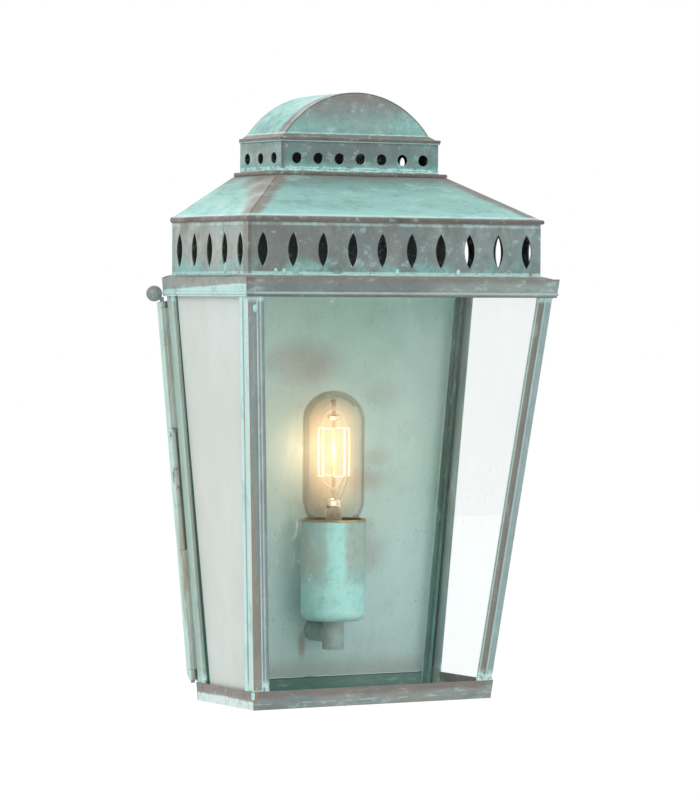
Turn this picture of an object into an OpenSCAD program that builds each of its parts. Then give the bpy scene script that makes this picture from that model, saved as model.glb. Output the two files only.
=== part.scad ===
/* [Cage] */
// Width across the posts at the top of the base
base_w = 202.4; // [180:1:225]
// Width across the posts under the cornice
top_w = 256.6; // [240:1:275]
// Depth of the cage at the top of the base
base_d = 86.9; // [78:1:96]
// Depth of the cage under the cornice
top_d = 125.5; // [116:1:134]
// Height of the glazed part, from base to cornice
cage_h = 285.5; // [260:1:310]
// Width of a leg of a corner post
post_leg = 13; // [10:0.5:16]
// Width of the back post's leg beside the back pan
back_leg = 9; // [6:0.5:12]
// Thickness of a post
post_t = 1.2; // [1:0.1:1.8]
// Width of the rolled bead on the glass edge of a post
bead_w = 5.5; // [4:0.1:6.5]
// How far the rolled bead stands out
bead_h = 1.5; // [0.8:0.1:1.9]
// Thickness of the glass
glass_t = 2.5; // [2:0.5:3]

/* [Base and cornice] */
// Height of the base tray's band
base_h = 13.6; // [10:0.5:18]
// Height of the cornice band
cornice_h = 13.7; // [11:0.5:18]
// How much lower the tray's edge is at the back
rail_drop = 0.2; // [0:0.2:6]
// How far the cornice stands out from the posts
cornice_out = 2.4; // [2:0.1:4]
// Rise of the sloping shelf between cornice and gallery
shelf_rise = 2.2; // [1.6:0.1:4]
// Thickness of the folded sheet
sheet_t = 0.9; // [0.7:0.1:1]

/* [Gallery and roof] */
// Width of the pierced gallery
gallery_w = 247; // [238:1:249]
// Depth of the pierced gallery
gallery_d = 116.5; // [111:0.5:119]
// Height of the gallery wall
gallery_h = 38; // [34:1:46]
// Height of one almond vent
almond_h = 25; // [18:1:28]
// Width of one almond vent
almond_w = 8.5; // [6:0.5:12]
// Almond vents across the front
almonds_front = 10; // [6:1:12]
// Almond vents along each side
almonds_side = 5; // [3:1:6]
// Height of the rolled eave rim
rim_h = 4; // [3:0.5:5]
// Height of the hip roof
roof_h = 31; // [24:1:42]
// Width of the hip roof at its top
collar_w = 144; // [138:1:160]
// Depth of the hip roof at its top
collar_d = 66.4; // [64.5:0.5:74]
// Thickness of the collar plate on the hip roof
collar_h = 2.7; // [2:0.1:4]

/* [Neck and dome] */
// Width of the neck
neck_w = 133.8; // [128:1:136]
// Depth of the neck
neck_d = 62.7; // [60:0.5:63.5]
// Height of the neck
neck_h = 22; // [18:1:30]
// Diameter of a round vent in the neck
vent_d = 8.2; // [5:0.2:10]
// Distance between the round vents across the front
vent_pitch = 17.9; // [14:0.1:18.5]
// Distance between the round vents on each side
side_pitch = 20.2; // [14:0.1:21]
// Height of the moulded shoulder above the neck
shoulder_h = 5.8; // [4.5:0.1:8]
// Width of the barrel dome
dome_w = 123; // [110:1:125]
// Depth of the barrel dome
dome_d = 58; // [52:0.5:59]
// Rise of the barrel dome
dome_rise = 31.5; // [24:0.5:40]

/* [Back pan and bracket] */
// Depth of the back pan, from the wall to its face
pan_d = 11; // [10:0.5:14]
// Height of the pan's lower edge above the lantern's foot
pan_low = 13; // [10:0.5:16]
// How far the pan's upper edge stays under the cage's top
pan_drop = 4.6; // [4.6:0.2:12]
// How far the pan's middle rises behind the cornice
head_rise = 2; // [0:0.2:6]
// Width notched out of the pan's upper left corner for the pin
notch_w = 9; // [9:0.5:24]
// Corner radius at the pan's foot
pan_corner = 7; // [3:0.5:10]
// Clear space between the pan's face and the cage's back
hinge_gap = 5; // [5:0.2:7]
// Height of the bracket's middle above the lantern's foot
bracket_mid = 165; // [150:1:180]
// Distance between the two wall screws
wall_pitch = 120; // [80:5:150]
// Diameter of a wall screw hole
wall_hole = 5.2; // [4:0.2:6.4]
// Width of the bracket
bracket_w = 30; // [26:1:40]
// Thickness of the bracket
bracket_t = 2.5; // [2:0.1:3]

/* [Hinge and catch] */
// Outer diameter of a knuckle
knuckle_d = 5; // [4.6:0.1:5]
// Diameter of the loose pin
pin_d = 3; // [2.4:0.1:3.2]
// Length of a short pan knuckle at the foot
stub_h = 9.9; // [7:0.1:14]
// Height of the middle knuckle
mid_h = 90; // [60:1:110]
// Diameter of the ball on the pin
ball_d = 11.8; // [10:0.2:12]
// How far the ball stands outside the pin's axis
ball_out = 6.3; // [5.4:0.1:7]
// Height of the catch above the lantern's foot
catch_z = 150; // [110:1:200]
// Diameter of the catch's stud
stud_d = 3; // [2.5:0.1:4]

/* [Lamp and holder] */
// Distance from the cage's back to the lamp's middle
lamp_y = 25; // [24.9:0.1:30]
// Height of the arm's middle
arm_z = 48.5; // [44:0.5:52]
// Outer diameter of the arm
arm_d = 16.4; // [14:0.2:18]
// Outer diameter of the stem under the holder
stem_d = 16.5; // [15:0.1:18]
// Height of the cup's foot
cup_z = 57.5; // [54:0.5:64]
// Height of the cup
cup_h = 74.5; // [66:0.5:84]
// Diameter of the cup
cup_d = 48.6; // [46:0.2:49.6]
// Radius of the cup's lower edge
cup_round = 7; // [4:0.5:9]
// Diameter of the bulb
bulb_d = 47; // [42:0.5:48]
// Length of the bulb above the cup
bulb_out = 97.6; // [85:0.5:110]
// Diameter of the filament cage
filament_d = 23.6; // [18:0.2:26]
// Number of filament strands
strands = 8; // [6:1:10]

/* [Hidden] */
$fn = 40;

verdigris = [0.60, 0.78, 0.74];
grey_green = [0.52, 0.60, 0.56];
brown_edge = [0.46, 0.40, 0.35];
pale_back = [0.62, 0.76, 0.72];
brass = [0.70, 0.58, 0.36];
steel = [0.62, 0.63, 0.64];
porcelain = [0.92, 0.91, 0.88];
clear_glass = [0.80, 0.88, 0.86, 0.35];
glow = [1.0, 0.62, 0.25];

// Clearances: pieces soldered together, running pin, loose fit
seat = 0.05;
run = 0.05;
free = 0.3;
past = 1;

cage_y = pan_d + hinge_gap;
cap_y = cage_y + sheet_t + seat;
post_y = cage_y + sheet_t + 2 * seat;
post_gap = 2 * seat;
base_out = sheet_t + post_gap;
glass_in = post_t + free;

z_cage = base_h + cage_h;
z_cornice = z_cage + cornice_h;
z_gallery = z_cornice + shelf_rise;
z_rim = z_gallery + gallery_h;
z_roof = z_rim + rim_h;
z_collar = z_roof + roof_h;
z_neck = z_collar + collar_h;
z_shoulder = z_neck + neck_h;
z_dome = z_shoulder + shoulder_h;
z_post_top = z_cornice - 1.3;
z_floor = sheet_t + seat;

side_slope = (top_w - base_w) / 2 / cage_h;
front_slope = (top_d - base_d) / cage_h;
tilt = atan(side_slope);
lean = cos(tilt);

function half_w(z) = base_w / 2 + side_slope * (z - base_h);
function front_y(z) = -(cage_y + base_d + front_slope * (z - base_h));

// Straight-sided block between two level rectangles [x0, x1, y0, y1]
module frustum(z0, r0, z1, r1) {
    polyhedron(
        points = [
            [r0[0], r0[2], z0], [r0[1], r0[2], z0], [r0[1], r0[3], z0], [r0[0], r0[3], z0],
            [r1[0], r1[2], z1], [r1[1], r1[2], z1], [r1[1], r1[3], z1], [r1[0], r1[3], z1]
        ],
        faces = [
            [0, 1, 2, 3], [4, 5, 1, 0], [7, 6, 5, 4],
            [5, 6, 2, 1], [6, 7, 3, 2], [7, 4, 0, 3]
        ]
    );
}

// Rectangle around the cage at a height, a given distance outside its faces
function around(z, out, back) = [
    -half_w(z) - out, half_w(z) + out, front_y(z) - out, -back
];

// Rectangle of a level storey of the roof
function storey(w, d, back) = [-w / 2, w / 2, -cage_y - d, -back];

// Rectangle in a front corner, between insets from the side and from the front
function front_corner(s, z, xa, xb, ya, yb) = [
    min(s * (half_w(z) - xa), s * (half_w(z) - xb)),
    max(s * (half_w(z) - xa), s * (half_w(z) - xb)),
    front_y(z) + ya,
    front_y(z) + yb
];

// Rectangle beside a back corner, between insets from the side and from the wall
function back_corner(s, z, xa, xb, ya, yb) = [
    min(s * (half_w(z) - xa), s * (half_w(z) - xb)),
    max(s * (half_w(z) - xa), s * (half_w(z) - xb)),
    -yb,
    -ya
];

// Everything is drawn from the foot up and hung on the bracket's middle
module hung(tone) {
    color(tone) translate([0, 0, -bracket_mid]) children();
}

// A leaning prism that keeps its level section: direction, then its level X and Y
// axes as they lie in the plane square to that direction
front_lean = [-side_slope, -front_slope, 1];
back_lean = [-side_slope, 0, 1];
function lean_turn(d) = atan2(d[1], d[0]);
function lean_fall(d) = atan(norm([d[0], d[1]]));
function level_x(d) = let (a = lean_turn(d), c = cos(lean_fall(d)))
    [c * cos(a) * cos(a) + sin(a) * sin(a), sin(a) * cos(a) * (c - 1)];
function level_y(d) = let (a = lean_turn(d), c = cos(lean_fall(d)))
    [sin(a) * cos(a) * (c - 1), c * sin(a) * sin(a) + cos(a) * cos(a)];
function in_section(d, p) = level_x(d) * p[0] + level_y(d) * p[1];

// Section extruded along d through the point at, cut level at z0 and z1
module leaning(d, at, z0, z1) {
    reach = 30;
    intersection() {
        translate(at + d * (z0 - reach - at[2])) rotate([0, 0, lean_turn(d)])
            rotate([0, lean_fall(d), 0]) rotate([0, 0, -lean_turn(d)])
                linear_extrude((z1 - z0 + 2 * reach) * norm(d)) children();
        translate([-top_w, -2 * top_w, z0]) cube([2 * top_w, 2 * top_w, z1 - z0]);
    }
}

// Angle section with its corner at the origin, legs along X and along Y times up
module angle_section(d, leg, up) {
    outline = [
        [0, 0], [leg, 0], [leg, up * post_t], [post_t, up * post_t],
        [post_t, up * post_leg], [0, up * post_leg]
    ];
    polygon([for (p = outline) in_section(d, p)]);
}

// Rolled bead on a leg: the middle of its foot on the leg, and which way it faces
module bead_section(d, middle, face) {
    r = (bead_w * bead_w / 4 + bead_h * bead_h) / 2 / bead_h;
    sunk = 0.3;
    along = [face[1], face[0]] * bead_w;
    intersection() {
        translate(in_section(d, middle - face * (r - bead_h))) circle(r = r, $fn = 60);
        polygon([for (k = [[-1, -sunk], [1, -sunk], [1, 2 * bead_h], [-1, 2 * bead_h]])
            in_section(d, middle + along * k[0] + face * k[1])]);
    }
}

z_bead_low = base_h + seat;
z_bead_high = z_cage - seat;
bead_edge = 0.5;
bead_in = post_leg - bead_w / 2 - bead_edge;

// The left-hand posts; the right-hand ones are their mirror images
module front_post() {
    at = [-half_w(0), front_y(0), 0];
    leaning(front_lean, at, z_floor, z_post_top) angle_section(front_lean, post_leg, 1);
    leaning(front_lean, at, z_bead_low, z_bead_high) {
        bead_section(front_lean, [bead_in, 0], [0, -1]);
        bead_section(front_lean, [0, bead_in], [-1, 0]);
    }
}

module back_post() {
    at = [-half_w(0), -post_y, 0];
    leaning(back_lean, at, z_floor, z_post_top) angle_section(back_lean, back_leg, -1);
    leaning(back_lean, at, z_bead_low, z_bead_high)
        bead_section(back_lean, [0, -bead_in], [-1, 0]);
}

module post_front_left() { hung(grey_green) front_post(); }
module post_front_right() { hung(grey_green) mirror([1, 0, 0]) front_post(); }
module post_back_left() { hung(grey_green) back_post(); }
module post_back_right() { hung(grey_green) mirror([1, 0, 0]) back_post(); }

// Tray that carries the posts and the glass
module base_tray() {
    inner = base_out - sheet_t;
    hung(grey_green) difference() {
        frustum(0, around(0, base_out, cage_y), base_h, around(base_h, base_out, cage_y));
        frustum(sheet_t, around(sheet_t, inner, cage_y + sheet_t),
            base_h + past, around(base_h + past, inner, cage_y + sheet_t));
        translate([-half_w(0) + back_leg, -cage_y - sheet_t - past, base_h - rail_drop])
            cube([2 * (half_w(0) - back_leg), sheet_t + 2 * past, rail_drop + past]);
    }
}

// Splayed band with a bead, a lip under it and a sloping shelf on top
module cornice() {
    inner = cornice_out - sheet_t;
    bead_r = 1;
    z_bead = z_cage + 2.4;
    shelf = storey(gallery_w + 2 * seat, gallery_d + seat, cap_y);
    hung(verdigris) {
        difference() {
            frustum(z_cage, around(z_cage, cornice_out, cap_y),
                z_cornice, around(z_cornice, cornice_out, cap_y));
            frustum(z_cage + sheet_t, around(z_cage + sheet_t, inner, 0),
                z_cornice + past, around(z_cornice + past, inner, 0));
            frustum(z_cage - past, around(z_cage - past, post_gap, 0),
                z_cornice, around(z_cornice, post_gap, 0));
        }
        difference() {
            frustum(z_cornice - sheet_t, around(z_cornice, cornice_out - 0.2, cap_y),
                z_gallery, shelf);
            frustum(z_cornice - 2 * sheet_t - seat, around(z_cornice, inner, 0),
                z_gallery - sheet_t - seat, storey(gallery_w, gallery_d, 0));
            frustum(z_cornice - past, storey(gallery_w - 6, gallery_d - 3, 0),
                z_gallery + past, storey(gallery_w - 6, gallery_d - 3, 0));
        }
        x = half_w(z_bead) + cornice_out;
        y = front_y(z_bead) - cornice_out;
        translate([-x, y, z_bead]) rotate([0, 90, 0]) cylinder(r = bead_r, h = 2 * x, $fn = 16);
        for (s = [-1, 1]) {
            translate([s * x, y, z_bead]) rotate([-90, 0, 0])
                cylinder(r = bead_r, h = -cap_y - y, $fn = 16);
            translate([s * x, y, z_bead]) sphere(r = bead_r, $fn = 16);
        }
    }
}

// Almond outline made of two arcs, point up
module almond() {
    arc_r = (almond_h * almond_h / 4 + almond_w * almond_w / 4) / almond_w;
    off = arc_r - almond_w / 2;
    intersection() {
        translate([-off, 0]) circle(r = arc_r, $fn = 120);
        translate([off, 0]) circle(r = arc_r, $fn = 120);
    }
}

module upright(y0, y1) {
    translate([0, y1, 0]) rotate([90, 0, 0]) linear_extrude(y1 - y0) children();
}

module sideways(x0, x1) {
    translate([x0, 0, 0]) rotate([90, 0, 90]) linear_extrude(x1 - x0) children();
}

// Open-backed box wall of a storey
module storey_wall(w, d, z0, z1) {
    front = -cage_y - d;
    difference() {
        translate([-w / 2, front, z0]) cube([w, -cap_y - front, z1 - z0]);
        translate([-w / 2 + sheet_t, front + sheet_t, z0 - past])
            cube([w - 2 * sheet_t, d + past, z1 - z0 + 2 * past]);
    }
}

// Pierced wall under the eaves
module gallery() {
    zc = (z_gallery + z_rim) / 2 - 1.3;
    pitch = gallery_w / almonds_front;
    side = gallery_d / almonds_side;
    front = -cage_y - gallery_d;
    hung(verdigris) difference() {
        storey_wall(gallery_w, gallery_d, z_gallery + seat, z_rim);
        upright(front - past, front + 2 * past) for (i = [0:almonds_front - 1])
            translate([(i + 0.5) * pitch - gallery_w / 2, zc]) almond();
        sideways(-gallery_w, gallery_w) for (i = [0:almonds_side - 1])
            translate([-cage_y - (i + 0.5) * side, zc]) almond();
    }
}

// Rolled rim that the roof sheet rests on
module eave_rim() {
    r = rim_h / 2 - seat;
    x = gallery_w / 2 - 0.6;
    y = -cage_y - gallery_d + 0.6;
    bar = 4;
    hung(brown_edge) {
        difference() {
            translate([-x, y, z_rim + seat]) cube([2 * x, -cap_y - y, 2 * r]);
            translate([-x + bar, y + bar, z_rim - past])
                cube([2 * (x - bar), gallery_d, rim_h + 2 * past]);
        }
        translate([-x, y, z_rim + rim_h / 2]) rotate([0, 90, 0]) cylinder(r = r, h = 2 * x);
        for (s = [-1, 1]) {
            translate([s * x, y, z_rim + rim_h / 2]) rotate([-90, 0, 0])
                cylinder(r = r, h = -cap_y - y);
            translate([s * x, y, z_rim + rim_h / 2]) sphere(r = r);
        }
    }
}

// Three-sided hip roof of bent sheet
module hip_roof() {
    low = storey(gallery_w - 1.2, gallery_d - 0.6, cap_y);
    high = storey(collar_w, collar_d, cap_y);
    drop = 1.2 * sheet_t;
    low_cut = storey(gallery_w - 1.2, gallery_d - 0.6, 0);
    high_cut = storey(collar_w, collar_d, 0);
    hole = storey(collar_w - 8, collar_d - 4, 0);
    hung(verdigris) difference() {
        frustum(z_roof, low, z_collar, high);
        frustum(z_roof - drop, low_cut, z_collar - drop, high_cut);
        frustum(z_roof, hole, z_collar + past, hole);
    }
}

// Flat plate between hip roof and neck, open inside for the draught
module collar_plate() {
    y = -cage_y - collar_d;
    hung(brown_edge) difference() {
        translate([-collar_w / 2, y, z_collar + seat])
            cube([collar_w, -cap_y - y, collar_h - 2 * seat]);
        translate([-neck_w / 2 + 6, -cage_y - neck_d + 6, z_collar - past])
            cube([neck_w - 12, neck_d, collar_h + 2 * past]);
    }
}

// Neck with round vents
module neck() {
    zc = (z_neck + z_shoulder) / 2 - 1.1;
    count = floor((neck_w - 8 - vent_d) / vent_pitch) + 1;
    side = 3;
    front = -cage_y - neck_d;
    hung(verdigris) difference() {
        storey_wall(neck_w, neck_d, z_neck, z_shoulder);
        upright(front - past, front + 2 * past) for (i = [0:count - 1])
            translate([(i - (count - 1) / 2) * vent_pitch, zc]) circle(d = vent_d);
        sideways(-neck_w, neck_w) for (i = [0:side - 1])
            translate([-cage_y - neck_d / 2 + (i - (side - 1) / 2) * side_pitch, zc])
                circle(d = vent_d);
    }
}

// Moulded shoulder: an overhanging bead, then a slope up to the dome
module shoulder() {
    over = 1;
    bead_h = 1.9;
    z0 = z_shoulder + seat;
    low = storey(neck_w + 2 * over, neck_d + over, cap_y);
    mid = storey(neck_w + over, neck_d + over / 2, cap_y);
    high = storey(dome_w + 0.8, dome_d + 0.4, cap_y);
    hole = storey(dome_w - 6, dome_d - 3, 0);
    hung(verdigris) difference() {
        union() {
            frustum(z0, low, z0 + bead_h, low);
            frustum(z0 + bead_h, mid, z_dome, high);
        }
        frustum(z_shoulder - past, hole, z_dome + past, hole);
    }
}

dome_r = (dome_w * dome_w / 4 + dome_rise * dome_rise) / 2 / dome_rise;

// Segment of a circle that stands on the shoulder
module arch(r) {
    intersection() {
        translate([0, z_dome + dome_rise - dome_r]) circle(r = r, $fn = 180);
        translate([-dome_w, z_dome + seat]) square([2 * dome_w, dome_rise + past]);
    }
}

// Barrel dome with its closed half-moon front
module barrel_dome() {
    y = -cage_y - dome_d;
    hung(verdigris) difference() {
        upright(y, -cap_y) arch(dome_r);
        upright(y + sheet_t, 0) translate([0, -past / 100]) arch(dome_r - sheet_t);
        translate([-dome_w / 2 + 3, y + sheet_t, z_dome - past])
            cube([dome_w - 6, dome_d, past + 2 * seat]);
    }
}

// Flat sheet that closes the back of cornice, gallery, roof, neck and dome
module roof_back() {
    w0 = half_w(z_cage) + cornice_out;
    w1 = half_w(z_cornice) + cornice_out;
    eave = gallery_w / 2 + rim_h / 2 - 0.65;
    side = [
        [w0, z_cage], [w1, z_cornice], [gallery_w / 2, z_gallery], [gallery_w / 2, z_rim],
        [eave, z_rim], [eave, z_roof], [gallery_w / 2 - 0.6, z_roof],
        [collar_w / 2, z_collar], [collar_w / 2, z_neck], [neck_w / 2, z_neck],
        [neck_w / 2, z_shoulder], [neck_w / 2 + 1, z_shoulder],
        [neck_w / 2 + 1, z_shoulder + 1.9], [dome_w / 2 + 0.4, z_dome + seat]
    ];
    last = len(side) - 1;
    hung(grey_green) upright(-cage_y - sheet_t, -cage_y) union() {
        polygon(concat(side, [for (i = [0:last]) [-side[last - i][0], side[last - i][1]]]));
        arch(dome_r);
    }
}

// Front pane, held behind the front posts
module glass_front() {
    edge = glass_in + glass_t + 0.5;
    y0 = glass_in;
    y1 = glass_in + glass_t;
    z0 = z_floor + 0.2;
    z1 = z_post_top - 1;
    hung(clear_glass) frustum(
        z0, [-half_w(z0) + edge, half_w(z0) - edge, front_y(z0) + y0, front_y(z0) + y1],
        z1, [-half_w(z1) + edge, half_w(z1) - edge, front_y(z1) + y0, front_y(z1) + y1]);
}

module side_glass(s) {
    z0 = z_floor + 0.2;
    z1 = z_post_top - 1;
    yb = post_y + post_t + free;
    r0 = front_corner(s, z0, glass_in, glass_in + glass_t, glass_in, 0);
    r1 = front_corner(s, z1, glass_in, glass_in + glass_t, glass_in, 0);
    hung(clear_glass) frustum(z0, [r0[0], r0[1], r0[2], -yb], z1, [r1[0], r1[1], r1[2], -yb]);
}

module glass_left() { side_glass(-1); }
module glass_right() { side_glass(1); }

// Angles soldered inside the corners to hold the glass
module glazing_strips() {
    g = glass_in + glass_t + 0.2;
    w = 4.6;
    t = 0.7;
    z0 = z_floor;
    z1 = z_post_top;
    yb = post_y + post_t + 0.1;
    hung(grey_green) for (s = [-1, 1]) {
        frustum(z0, front_corner(s, z0, g, g + t, g + 0.6, g + w),
            z1, front_corner(s, z1, g, g + t, g + 0.6, g + w));
        frustum(z0, front_corner(s, z0, g, g + w, g + 0.6, g + 0.6 + t),
            z1, front_corner(s, z1, g, g + w, g + 0.6, g + 0.6 + t));
        frustum(z0, back_corner(s, z0, g, g + t, yb, yb + w),
            z1, back_corner(s, z1, g, g + t, yb, yb + w));
        frustum(z0, back_corner(s, z0, g, back_leg - 0.2, yb, yb + t),
            z1, back_corner(s, z1, g, back_leg - 0.2, yb, yb + t));
    }
}

pan_top = z_cage - pan_drop;
pan_head = z_cage + head_rise;

// Outline of the back pan, drawn in from its edge, with round lower corners and a notch for the pin
module pan_outline(in) {
    r = pan_corner - in;
    c = pan_low + pan_corner;
    x = half_w(c) - pan_corner;
    arc = [for (a = [-90:15:0]) [x + r * cos(a), c + r * sin(a)]];
    edge = half_w(pan_top) - in;
    head = [edge - notch_w, pan_head - in];
    notch = [[-head[0], head[1]], [-head[0], pan_top - in], [-edge, pan_top - in]];
    last = len(arc) - 1;
    polygon(concat(arc, [[half_w(pan_head) - in, pan_head - in]], notch,
        [for (i = [0:last]) [-arc[last - i][0], arc[last - i][1]]]));
}

screw_y = pan_d / 2;
screw_r = 2;
screw_hole = screw_r + 0.2;

// Tray-shaped back pan whose edges stand on the wall
module back_pan() {
    hung(pale_back) difference() {
        upright(-pan_d, 0) pan_outline(0);
        upright(-pan_d + sheet_t, past) pan_outline(sheet_t);
        translate([0, -pan_d - past, arm_z]) rotate([-90, 0, 0])
            cylinder(d = arm_d + 2 * seat, h = pan_d);
        translate([0, -screw_y, pan_head - 3 * sheet_t])
            cylinder(r = screw_hole, h = 6 * sheet_t);
        translate([0, -screw_y, pan_low - 3 * sheet_t])
            cylinder(r = screw_hole, h = 6 * sheet_t);
        translate([half_w(catch_z), -screw_y, catch_z]) rotate([0, tilt, 0])
            translate([-3, 0, 0]) rotate([0, 90, 0]) cylinder(d = stud_d + 2 * seat, h = 6);
    }
}

// Steel strap on the wall with an ear at each end for the pan's screws
module wall_bracket() {
    z0 = pan_low + sheet_t + seat;
    z1 = pan_head - sheet_t - seat;
    reach = pan_d - sheet_t - 0.6;
    hung(steel) difference() {
        union() {
            translate([-bracket_w / 2, -bracket_t, z0]) cube([bracket_w, bracket_t, z1 - z0]);
            for (z = [z0, z1 - bracket_t])
                translate([-bracket_w / 2, -reach, z]) cube([bracket_w, reach, bracket_t]);
        }
        for (s = [-1, 1]) translate([0, past, bracket_mid + s * wall_pitch / 2])
            rotate([90, 0, 0]) cylinder(d = wall_hole, h = bracket_t + 2 * past);
        translate([0, past, arm_z]) rotate([90, 0, 0])
            cylinder(d = arm_d + 4, h = bracket_t + 2 * past);
        for (z = [z0 - past, z1 - bracket_t - past]) translate([0, -screw_y, z])
            cylinder(r = screw_r + seat, h = bracket_t + 2 * past);
    }
}

// Two screws that hold the pan on the bracket's ears
module pan_screws() {
    hung(brass) {
        translate([0, -screw_y, pan_head + seat]) pan_screw();
        translate([0, -screw_y, pan_low - seat]) mirror([0, 0, 1]) pan_screw();
    }
}

module pan_screw() {
    head_r = 3.6;
    head_h = 2.2;
    slot = 0.8;
    difference() {
        union() {
            cylinder(r = head_r, h = head_h);
            translate([0, 0, -sheet_t - bracket_t - 3]) cylinder(r = screw_r, h = sheet_t + bracket_t + 4);
        }
        translate([-head_r, -slot / 2, head_h - slot]) cube([2 * head_r, slot, slot + past]);
    }
}

// Connector for the supply wires, behind the pan
module terminal_block() {
    size = [24, pan_d - sheet_t - bracket_t - 0.8, 13];
    ways = 3;
    z0 = arm_z + 24;
    hung(porcelain) difference() {
        translate([-size[0] / 2, -bracket_t - seat - size[1], z0]) cube(size);
        for (i = [0:ways - 1]) translate([(i - 1) * 7.5, -bracket_t - seat - size[1] / 2, z0 - past])
            cylinder(d = 3.4, h = size[2] + 2 * past, $fn = 24);
    }
}

hinge_out = knuckle_d / 2 + 0.1;
hinge_y = pan_d + hinge_gap / 2;
z_stub = pan_low + stub_h;
z_top_knuckle = pan_top - 4.2;
z_mid = (z_stub + z_top_knuckle - mid_h) / 2;
leaf_l = 10;

// Frame on the hinge's leaning axis at a height
module on_axis(z) {
    translate([-half_w(z) - hinge_out, -hinge_y, z]) rotate([0, -tilt, 0]) children();
}

// Knuckle between two heights with a flat leaf in front or behind
module knuckle(z0, z1, leaf_y) {
    h = (z1 - z0) / lean;
    on_axis(z0) difference() {
        union() {
            cylinder(d = knuckle_d, h = h);
            translate([0, leaf_y, 0]) cube([leaf_l, sheet_t, h]);
        }
        translate([0, 0, -past]) cylinder(d = pin_d + 2 * run, h = h + 2 * past);
    }
}

// Foot, middle and top knuckles soldered to the pan's edge
module pan_knuckles() {
    leaf_y = hinge_gap / 2 - seat - sheet_t;
    hung(verdigris) {
        knuckle(pan_low + pan_corner * 0.3, z_stub, leaf_y);
        knuckle(z_mid + free, z_mid + mid_h, leaf_y);
        knuckle(z_top_knuckle + free, pan_top + 0.6, leaf_y);
    }
}

// Two long knuckles soldered behind the back left post
module cage_knuckles() {
    leaf_y = -hinge_gap / 2 - sheet_t + 0.15 - seat;
    hung(verdigris) {
        knuckle(z_stub + free, z_mid, leaf_y);
        knuckle(z_mid + mid_h + free, z_top_knuckle, leaf_y);
    }
}

// Loose pin with a cranked neck and a ball to pull it by
module hinge_pin() {
    foot = pan_low;
    neck_z = pan_top + 2.4;
    ball_z = z_cage + 1.9;
    rod = (neck_z - foot) / lean;
    rise = ball_z - neck_z;
    hung(grey_green) {
        on_axis(foot) cylinder(d = pin_d, h = rod + pin_d / 2);
        translate([-half_w(neck_z) - hinge_out, -hinge_y, neck_z]) {
            rotate([0, -atan2(ball_out, rise), 0])
                cylinder(d = 0.85 * pin_d, h = norm([ball_out, rise]));
            translate([-ball_out, 0, rise]) sphere(d = ball_d);
        }
    }
}

lamp_at = [0, -cage_y - lamp_y, 0];
tube_t = 1.5;
tube_in = arm_d - 2 * tube_t;
stem_foot = arm_z - 12.5;
nipple_d = 10;

// Arm from the pan to the stem, its end cut to fit round the stem
module arm_tube() {
    back = 4;
    hung(verdigris) difference() {
        translate([0, -back, arm_z]) rotate([90, 0, 0])
            cylinder(d = arm_d, h = cage_y + lamp_y - back);
        translate([0, past, arm_z]) rotate([90, 0, 0])
            cylinder(d = tube_in, h = cage_y + lamp_y + 2 * past);
        translate(lamp_at) translate([0, 0, arm_z - arm_d])
            cylinder(d = stem_d + 2 * seat, h = 2 * arm_d);
    }
}

// Nut behind the pan
module arm_nut() {
    nut_h = 4;
    hung(steel) translate([0, -pan_d + sheet_t + seat, arm_z]) rotate([-90, 0, 0]) difference() {
        cylinder(d = arm_d + 8, h = nut_h, $fn = 6);
        translate([0, 0, -past]) cylinder(d = arm_d + 2 * seat, h = nut_h + 2 * past);
    }
}

// Insulating bush in the arm's open end
module wire_bush() {
    lip = 1;
    long = 7;
    hung(porcelain) translate([0, -4, arm_z]) rotate([90, 0, 0]) difference() {
        union() {
            translate([0, 0, -lip]) cylinder(d = arm_d - 0.4, h = lip - seat);
            translate([0, 0, -lip]) cylinder(d = tube_in - 2 * seat, h = long);
        }
        translate([0, 0, -lip - past]) cylinder(d = tube_in - 4, h = long + 2 * past);
    }
}

// Upright tube, closed at its foot, that carries the cup
module stem_tube() {
    top = cup_z - seat;
    hung(verdigris) translate(lamp_at) difference() {
        translate([0, 0, stem_foot]) cylinder(d = stem_d, h = top - stem_foot);
        translate([0, 0, stem_foot + tube_t])
            cylinder(d = stem_d - 2 * tube_t, h = top - stem_foot - 2 * tube_t);
        translate([0, 0, top - 3 * tube_t]) cylinder(d = nipple_d + 2 * seat, h = 5 * tube_t);
        translate([0, 0, arm_z]) rotate([-90, 0, 0]) cylinder(d = tube_in, h = stem_d);
    }
}

// Threaded nipple through stem and cup
module stem_nipple() {
    z0 = cup_z - 4;
    z1 = cup_z + 10;
    hung(brass) translate(lamp_at) difference() {
        translate([0, 0, z0]) cylinder(d = nipple_d, h = z1 - z0);
        translate([0, 0, z0 - past]) cylinder(d = nipple_d - 3, h = z1 - z0 + 2 * past);
    }
}

cup_t = 1.2;
cup_top = cup_z + cup_h;

// Profile of a cup with a round lower edge
module cup_profile(r, round, z0, z1) {
    arc = [for (a = [-90:10:0]) [r - round + round * cos(a), z0 + round + round * sin(a)]];
    polygon(concat([[0, z0]], arc, [[r, z1], [0, z1]]));
}

// Deep drawn cup over the lampholder
module holder_cup() {
    hung(verdigris) translate(lamp_at) difference() {
        rotate_extrude($fn = 72) cup_profile(cup_d / 2, cup_round, cup_z, cup_top);
        rotate_extrude($fn = 72)
            cup_profile(cup_d / 2 - cup_t, cup_round - cup_t, cup_z + cup_t, cup_top + past);
        translate([0, 0, cup_z - past]) cylinder(d = nipple_d + 2 * seat, h = cup_t + 2 * past);
    }
}

// Brass ring inside the cup's mouth, showing as its upper edge
module cup_rim() {
    low = 6;
    show = 1.4;
    r = cup_d / 2 - cup_t - seat;
    hung(brass) translate(lamp_at) rotate_extrude($fn = 72) polygon([
        [r - 1, cup_top - low], [r, cup_top - low], [r, cup_top + seat],
        [cup_d / 2, cup_top + seat], [cup_d / 2, cup_top + show], [r - 1, cup_top + show]
    ]);
}

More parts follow.
